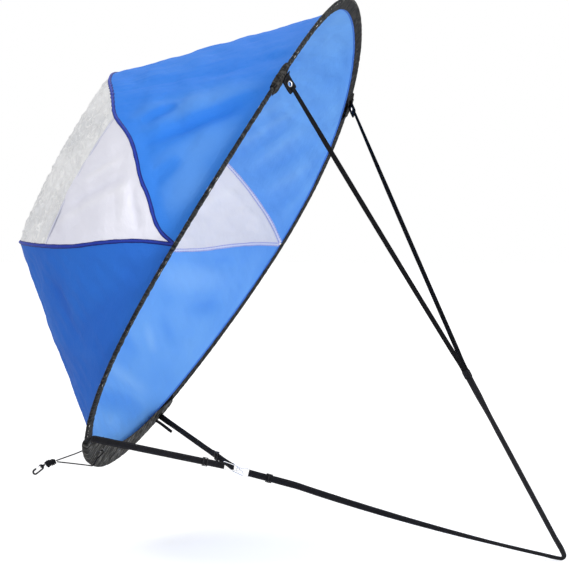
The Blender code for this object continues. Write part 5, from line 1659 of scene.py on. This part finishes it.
def hairpin(base, along, side, tail_length, run):
    """A strap's end: its own run, then round the ring's bar and back beside itself to its tail.

    The two layers lie a layer gap apart and open over 12 mm to the bar's width. The turn is a half
    circle about the bar.
    """
    square = np.cross(along, side)
    steps = np.array([[0.012], [0.006]])
    lifts = np.array([[layer_lift], [(layer_lift + loop_lift) / 2]])
    under = base + along * steps - square * lifts
    over = base + along * steps[::-1] + square * lifts[::-1]
    bend = arc(base, -square, -along, loop_lift, 0.0, math.pi, 9)
    tail = base + along * tail_length + square * layer_lift
    return np.vstack([run, under, bend, over, tail[None]])


def control_run():
    """The strap's line from the fork to the turn, the rounded turn, and the sagging line back."""
    tail_end = control_base + control_along * control_tail
    back = unit(tail_end - turn_point)
    half_angle = math.acos(float(np.clip(-fork_down @ back, -1, 1))) / 2
    inward = unit(back - fork_down)
    spread = np.cross(across, inward)
    spread = spread * np.sign(spread @ fork_down)
    first, last = math.pi / 2 - half_angle, half_angle - math.pi / 2
    bend = arc(turn_point + inward * turn_radius, -inward, spread, turn_radius, first, last, 9)
    if np.linalg.norm(bend[0] - fork) > np.linalg.norm(bend[-1] - fork):
        bend = bend[::-1]
    start = fork - fork_down * fork_patch_length * 0.1
    leave = fork + fork_down * fork_patch_length * 0.6
    upper = np.vstack([start[None], straight(leave, bend[0], 11)[:-1]])
    return upper, bend, straight(bend[-1], tail_end, 15, control_sag)[1:]


def turned_side(points):
    """The direction square to a path in the middle plane."""
    return unit(np.cross(unit(np.gradient(points, axis=0)), across))


upper_run, turn_run, lower_run = control_run()
control_face = np.cross(control_along, control_side)
lower_run = lower_run - control_face * layer_lift * np.linspace(0, 1, len(lower_run))[:, None]
control_stops = hairpin(
    control_base, control_along, control_side, control_tail, np.vstack([upper_run, turn_run, lower_run])
)
rest_count = len(control_stops) - len(upper_run) - len(turn_run) - len(lower_run)
upper_twist = np.interp(np.linspace(0, 1, len(upper_run)), [0.1, 0.3], [0.0, control_twist])
untwist = [0.2, 1 - 1 / len(lower_run)]
lower_twist = np.interp(np.linspace(0, 1, len(lower_run)), untwist, [control_twist, 0.0])
turn_twist = np.full(len(turn_run), control_twist)
twist = np.radians(np.concatenate([upper_twist, turn_twist, lower_twist, np.zeros(rest_count)]))[:, None]
heading = np.concatenate(
    [
        np.tile(fork_square, (len(upper_run), 1)),
        turned_side(turn_run),
        turned_side(lower_run),
        np.tile(-control_side, (rest_count, 1)),
    ]
)
control_wish = np.cos(twist) * heading + np.sin(twist) * across
control_strap = flat_strap(
    "control_strap_webbing", control_stops, control_wish, strap_width, strap_thickness, strap_webbing,
    0.004, 65,
)
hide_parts("control_strap")

# ------------------------------
# Fork patch: a sleeve of webbing sewn round both branches and the top of the control strap, so that
# the three lines pull as one.
fork_wall = 0.0008
patch_half_width = strap_width / 2 + 0.0003 + fork_wall
patch_half_depth = fork_stack_step + branch_thickness / 2 + 0.0003 + fork_wall
patch_run = np.linspace(-0.25, 0.5, 30)[:, None] * fork_patch_length
patch_line = fork + fork_down * patch_run
patch_turn = np.arange(32) * 2 * math.pi / 32
flat_round = np.stack([squared(np.cos(patch_turn), 0.35), squared(np.sin(patch_turn), 0.5)], axis=1)
mouth_ease = 1 - 0.08 * np.exp(-((np.minimum(np.arange(30), np.arange(30)[::-1]) / 2.5) ** 2))
patch_outer = carried(
    patch_line, fork_square, flat_round * (patch_half_width, patch_half_depth) * mouth_ease[:, None, None]
)
patch_inner = carried(
    patch_line, fork_square, flat_round * (patch_half_width - fork_wall, patch_half_depth - fork_wall)
)
patch_grid = np.concatenate([patch_outer, patch_inner[::-1]])
patch_place = np.concatenate([patch_run[:, 0], patch_run[::-1, 0], patch_run[:1, 0]])
patch_over = np.append(flat_round[:, 0], flat_round[0, 0]) * patch_half_width
fork_patch = skin("fork_patch_webbing", patch_grid, uv_grid(patch_place, patch_over), strap_webbing, True)
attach(fork_patch, "hoop_and_lines")
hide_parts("fork_patch")

# ------------------------------
# Lower legs: two 14 mm straps sewn to the base patch's front flap, out to their adjusters, round
# their wire rings and back on themselves.
leg_ring_length = 0.044
leg_slider_places = {"near": 0.050, "far": 0.070}
tail_past_slider = 0.022
anchor_angle = math.radians(32.0)
anchor_overlap = 0.016
near_link_rise = 0.0030
far_link_step = 0.010
far_link_drop = 0.0050


def leg_lines(sign):
    """A leg's ring bar, its direction to the anchor, its width direction and its anchor point."""
    upright = np.cross(control_along, across)
    upright = upright * np.sign(upright[2])
    near_crossing = ring_joint + upright * near_link_rise
    far_crossing = ring_joint + control_along * far_link_step - upright * far_link_drop
    crossing = near_crossing if sign < 0 else far_crossing
    theta = sign * (math.pi - anchor_angle)
    lift = -(sleeve_thickness / 2 + base_cloth + 0.0006 + strap_thickness / 2)
    anchor = hoop_point(np.array(theta), sleeve_middle, lift)
    along = unit(anchor - crossing)
    base = crossing + along * (leg_ring_length - 0.004)
    return base, along, unit(up_z - along[2] * along), anchor


leg_frames = {"near": leg_lines(-1), "far": leg_lines(1)}
for side_name, (base, along, side, anchor) in leg_frames.items():
    square = np.cross(along, side)
    tail = leg_slider_places[side_name] + tail_past_slider
    line_end = base + along * tail - square * layer_lift
    lift_off = anchor + (base - anchor) * 0.06 - square * layer_lift
    sewn = unit((base - anchor) - out_back * ((base - anchor) @ out_back))
    sewn_side = unit(np.cross(out_back, sewn))
    sewn_side = sewn_side * np.sign(sewn_side @ side)
    run = straight(lift_off, line_end, 5)
    sewn_end = anchor - sewn * anchor_overlap
    stops = hairpin(base, along, side, tail, np.vstack([sewn_end[None], anchor[None], run]))
    wish = np.tile(side, (len(stops), 1))
    wish[:2] = sewn_side
    wish[2] = unit(sewn_side + side)
    leg = flat_strap(
        f"{side_name}_leg_strap_webbing", stops, wish, strap_width, strap_thickness, strap_webbing, 0.004,
        67 if side_name == "near" else 68,
    )
    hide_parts(f"{side_name}_leg_strap")

# ------------------------------
# Wire rings: each strap ends in a ring of 1.6 mm bright wire, wide where the webbing goes round it
# and narrow where the three rings hook into one another.
ring_base_half = 0.0085
ring_tip_half = 0.0036
control_slider_place = 0.041
strap_ends = {
    "near_leg": (*leg_frames["near"][:3], leg_slider_places["near"], leg_ring_length),
    "far_leg": (*leg_frames["far"][:3], leg_slider_places["far"], leg_ring_length),
    "control": (control_base, control_along, control_side, control_slider_place, control_ring_length),
}
for ring_name, (base, along, side, _, ring_length) in strap_ends.items():
    tip = base - along * ring_length
    bar_reach, tip_reach = side * ring_base_half, side * ring_tip_half
    corners = np.array([base - bar_reach, base + bar_reach, tip + tip_reach, tip - tip_reach])
    ring_line = rounded_loop(corners, 0.0018, 9)
    ring = round_bar(
        f"{ring_name}_ring_wire", ring_line, np.cross(-along, side), ring_wire / 2, bright_wire, 14, True
    )
    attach(ring, f"{ring_name}_ring")
    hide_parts(f"{ring_name}_ring")

# ------------------------------
# Adjusters: moulded three-bar sliders. Two side rails, eased at their ends, carry two low end bars
# under the webbing and one high middle bar over it, so the doubled strap bites and holds.
slider_length = 0.0135
slider_rail = 0.0015
slider_bar = 0.0024
slider_bar_thickness = 0.0012
slider_clearance = 0.0004


def eased_outline(corners, radius):
    """A closed flat outline of (along, up) pairs with its corners rounded as parabolas."""
    flat = np.hstack([corners, np.zeros((len(corners), 1))])
    return rounded_loop(flat, radius, 5)[:, :2]


def bar_of(base, along, side, outline, low, high, ease):
    """A moulded bar: a flat outline carried from low to high across the strap, its ends drawn in.

    Near each end the outline shrinks about its middle by the ease, on a quarter circle.
    """
    swing = ease * (1 - np.cos(np.linspace(0, math.pi / 2, 5)))
    over = np.concatenate([low + swing, high - swing[::-1]])
    depth = np.minimum(over - low, high - over)
    inset = ease * (1 - np.sqrt(np.clip(1 - (1 - np.clip(depth / ease, 0, 1)) ** 2, 0, 1)))
    middle = outline.mean(axis=0)
    reach = np.linalg.norm(outline - middle, axis=1)
    shape = middle + (outline - middle) * (1 - inset[:, None, None] / reach[None, :, None])
    square = np.cross(along, side)
    grid = base + shape[..., :1] * along + shape[..., 1:] * square + over[:, None, None] * side
    around = path_length(np.hstack([outline, outline[:, :1] * 0]), True)
    return grid, uv_grid(over, around)


for slider_name, (base, along, side, slider_place, _) in strap_ends.items():
    centre = base + along * slider_place
    stack = layer_gap / 2 + strap_thickness + slider_clearance
    inner = strap_width / 2 + slider_clearance
    outer = inner + slider_rail
    high = stack + slider_bar_thickness
    half = slider_length / 2
    rail = np.array([(-1, -1), (1, -1), (1, -0.2), (0.45, 1), (-0.45, 1), (-1, -0.2)]) * (half, high)
    rail = eased_outline(rail, 0.0009)
    bar_half = slider_bar / 2
    end_bar = np.array([(-bar_half, -high), (bar_half, -high), (bar_half, -stack), (-bar_half, -stack)])
    middle_bar = end_bar * (1, -1)
    shift = np.array([half - bar_half - slider_bar_thickness / 4, 0.0])
    parts = [
        bar_of(centre, along, side, rail, -outer, -inner, 0.0005),
        bar_of(centre, along, side, rail, inner, outer, 0.0005),
    ]
    bar_reach = inner + 0.0007
    for outline in (end_bar - shift, end_bar + shift, middle_bar[::-1]):
        outline = eased_outline(outline, 0.0004)
        parts.append(bar_of(centre, along, side, outline, -bar_reach, bar_reach, 0.0002))
    made = [skin(f"{slider_name}_slider_part_{k}", *part, black_acetal) for k, part in enumerate(parts)]
    with bpy.context.temp_override(active_object=made[0], selected_editable_objects=made):
        bpy.ops.object.join()
    slider = made[0]
    slider.name = f"{slider_name}_slider_moulding"
    slider.data.name = slider.name
    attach(slider, f"{slider_name}_slider")
    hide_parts(f"{slider_name}_slider")

# ------------------------------
# Pull loop: 6 mm tape doubled on itself and sewn to the far end of the base patch, whose face both
# ends leave square.
loop_width = 0.006
loop_cloth = 0.0012
loop_gap = 0.0016
loop_length = 0.043
loop_root_length = 0.004
loop_angle = math.radians(29.8)
loop_face = -(sleeve_thickness / 2 + base_cloth + 0.0003)
loop_root = hoop_point(np.array(math.pi - loop_angle), sleeve_middle, loop_face)
loop_hang = unit(-out_back - 0.12 * up_z)
loop_side = unit(np.cross(loop_hang, across))
loop_square = np.cross(loop_hang, loop_side)
loop_layer = loop_gap / 2 + loop_cloth / 2
loop_near = loop_root - out_back * loop_root_length
loop_tip = loop_near + loop_hang * (loop_length - loop_root_length - loop_layer)
loop_bend = arc(loop_tip, loop_square, loop_hang, loop_layer, 0.0, math.pi, 9)
loop_off = across * loop_layer * np.sign(loop_square @ across)
loop_stops = np.vstack(
    [[loop_root + loop_off, loop_near + loop_off], loop_bend, [loop_near - loop_off, loop_root - loop_off]]
)
loop_tape = webbing_look("grey_black_loop_tape", loop_width / 2, 800.0)
pull_loop = flat_strap(
    "far_pull_loop_tape", loop_stops, loop_side, loop_width, loop_cloth, loop_tape, 0.003, 71
)
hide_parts("far_pull_loop")

# ------------------------------
# Studio: a plain pale floor at the lowest point of the rigged sail, soft lamps from the upper left,
# the front, above and the right, where one fills the bag. Only the camera sees pure white.


def white_to_camera(tree):
    """1 where the camera, a reflection or a view through film looks straight at the surface."""
    rays = tree.nodes.new("ShaderNodeLightPath")
    seen = sum_node(tree, "MAXIMUM", rays.outputs["Is Camera Ray"], rays.outputs["Is Glossy Ray"])
    return sum_node(tree, "MAXIMUM", seen, rays.outputs["Is Transmission Ray"])


floor_look, floor_tree, floor_shader = new_look("pale_studio_floor", 0.9)
floor_shader.inputs["Base Color"].default_value = (0.86, 0.86, 0.87, 1.0)
floor_shader.inputs["Specular IOR Level"].default_value = 0.0
floor_shader.inputs["Emission Color"].default_value = (1.0, 1.0, 1.0, 1.0)
floor_parts = floor_tree.nodes.new("ShaderNodeVectorMath")
floor_parts.operation = "LENGTH"
floor_tree.links.new(object_place(floor_tree), floor_parts.inputs[0])
far_glow = range_node(floor_tree, floor_parts.outputs["Value"], 1.2, 4.5, 0.42, 0.90)
glow = sum_node(floor_tree, "MULTIPLY", white_to_camera(floor_tree), far_glow)
floor_tree.links.new(glow, floor_shader.inputs["Emission Strength"])
floor_mesh = bpy.data.meshes.new("studio_floor")
floor_level = cad_low[2] - 0.0004
floor_corners = [(60.0 * x, 60.0 * y, floor_level) for x, y in ((-1, -1), (1, -1), (1, 1), (-1, 1))]
floor_mesh.from_pydata(floor_corners, [], [(0, 1, 2, 3)])
floor_mesh.materials.append(floor_look)
floor = new_object("studio_floor", floor_mesh)

world = bpy.data.worlds.new("studio_world")
bpy.context.scene.world = world
world.use_nodes = True
sky = world.node_tree.nodes["Background"]
sky.inputs["Color"].default_value = (1.0, 1.0, 1.0, 1.0)
sky_strength = sum_node(world.node_tree, "MULTIPLY_ADD", white_to_camera(world.node_tree), 0.65, 0.35)
world.node_tree.links.new(sky_strength, sky.inputs["Strength"])


def soft_lamp(name, place, target, size, power):
    """A square area lamp at a place, turned to its target."""
    lamp = bpy.data.lights.new(name, "AREA")
    lamp.size = size
    lamp.energy = power
    made = new_object(name, lamp)
    made.location = place
    made.rotation_euler = (Vector(target) - Vector(place)).to_track_quat("-Z", "Y").to_euler()


soft_lamp("key_lamp", (-1.5, -2.6, 3.3), (0.1, 0.0, 0.45), 1.2, 38.0)
soft_lamp("front_lamp", (0.4, -4.0, 2.2), (0.1, 0.0, 0.45), 1.8, 35.0)
soft_lamp("bag_fill_lamp", (2.8, -1.6, 1.2), (0.1, 0.0, 0.45), 1.8, 60.0)
soft_lamp("top_lamp", (0.1, 1.6, 3.3), (0.2, 0.0, 0.4), 2.0, 38.0)
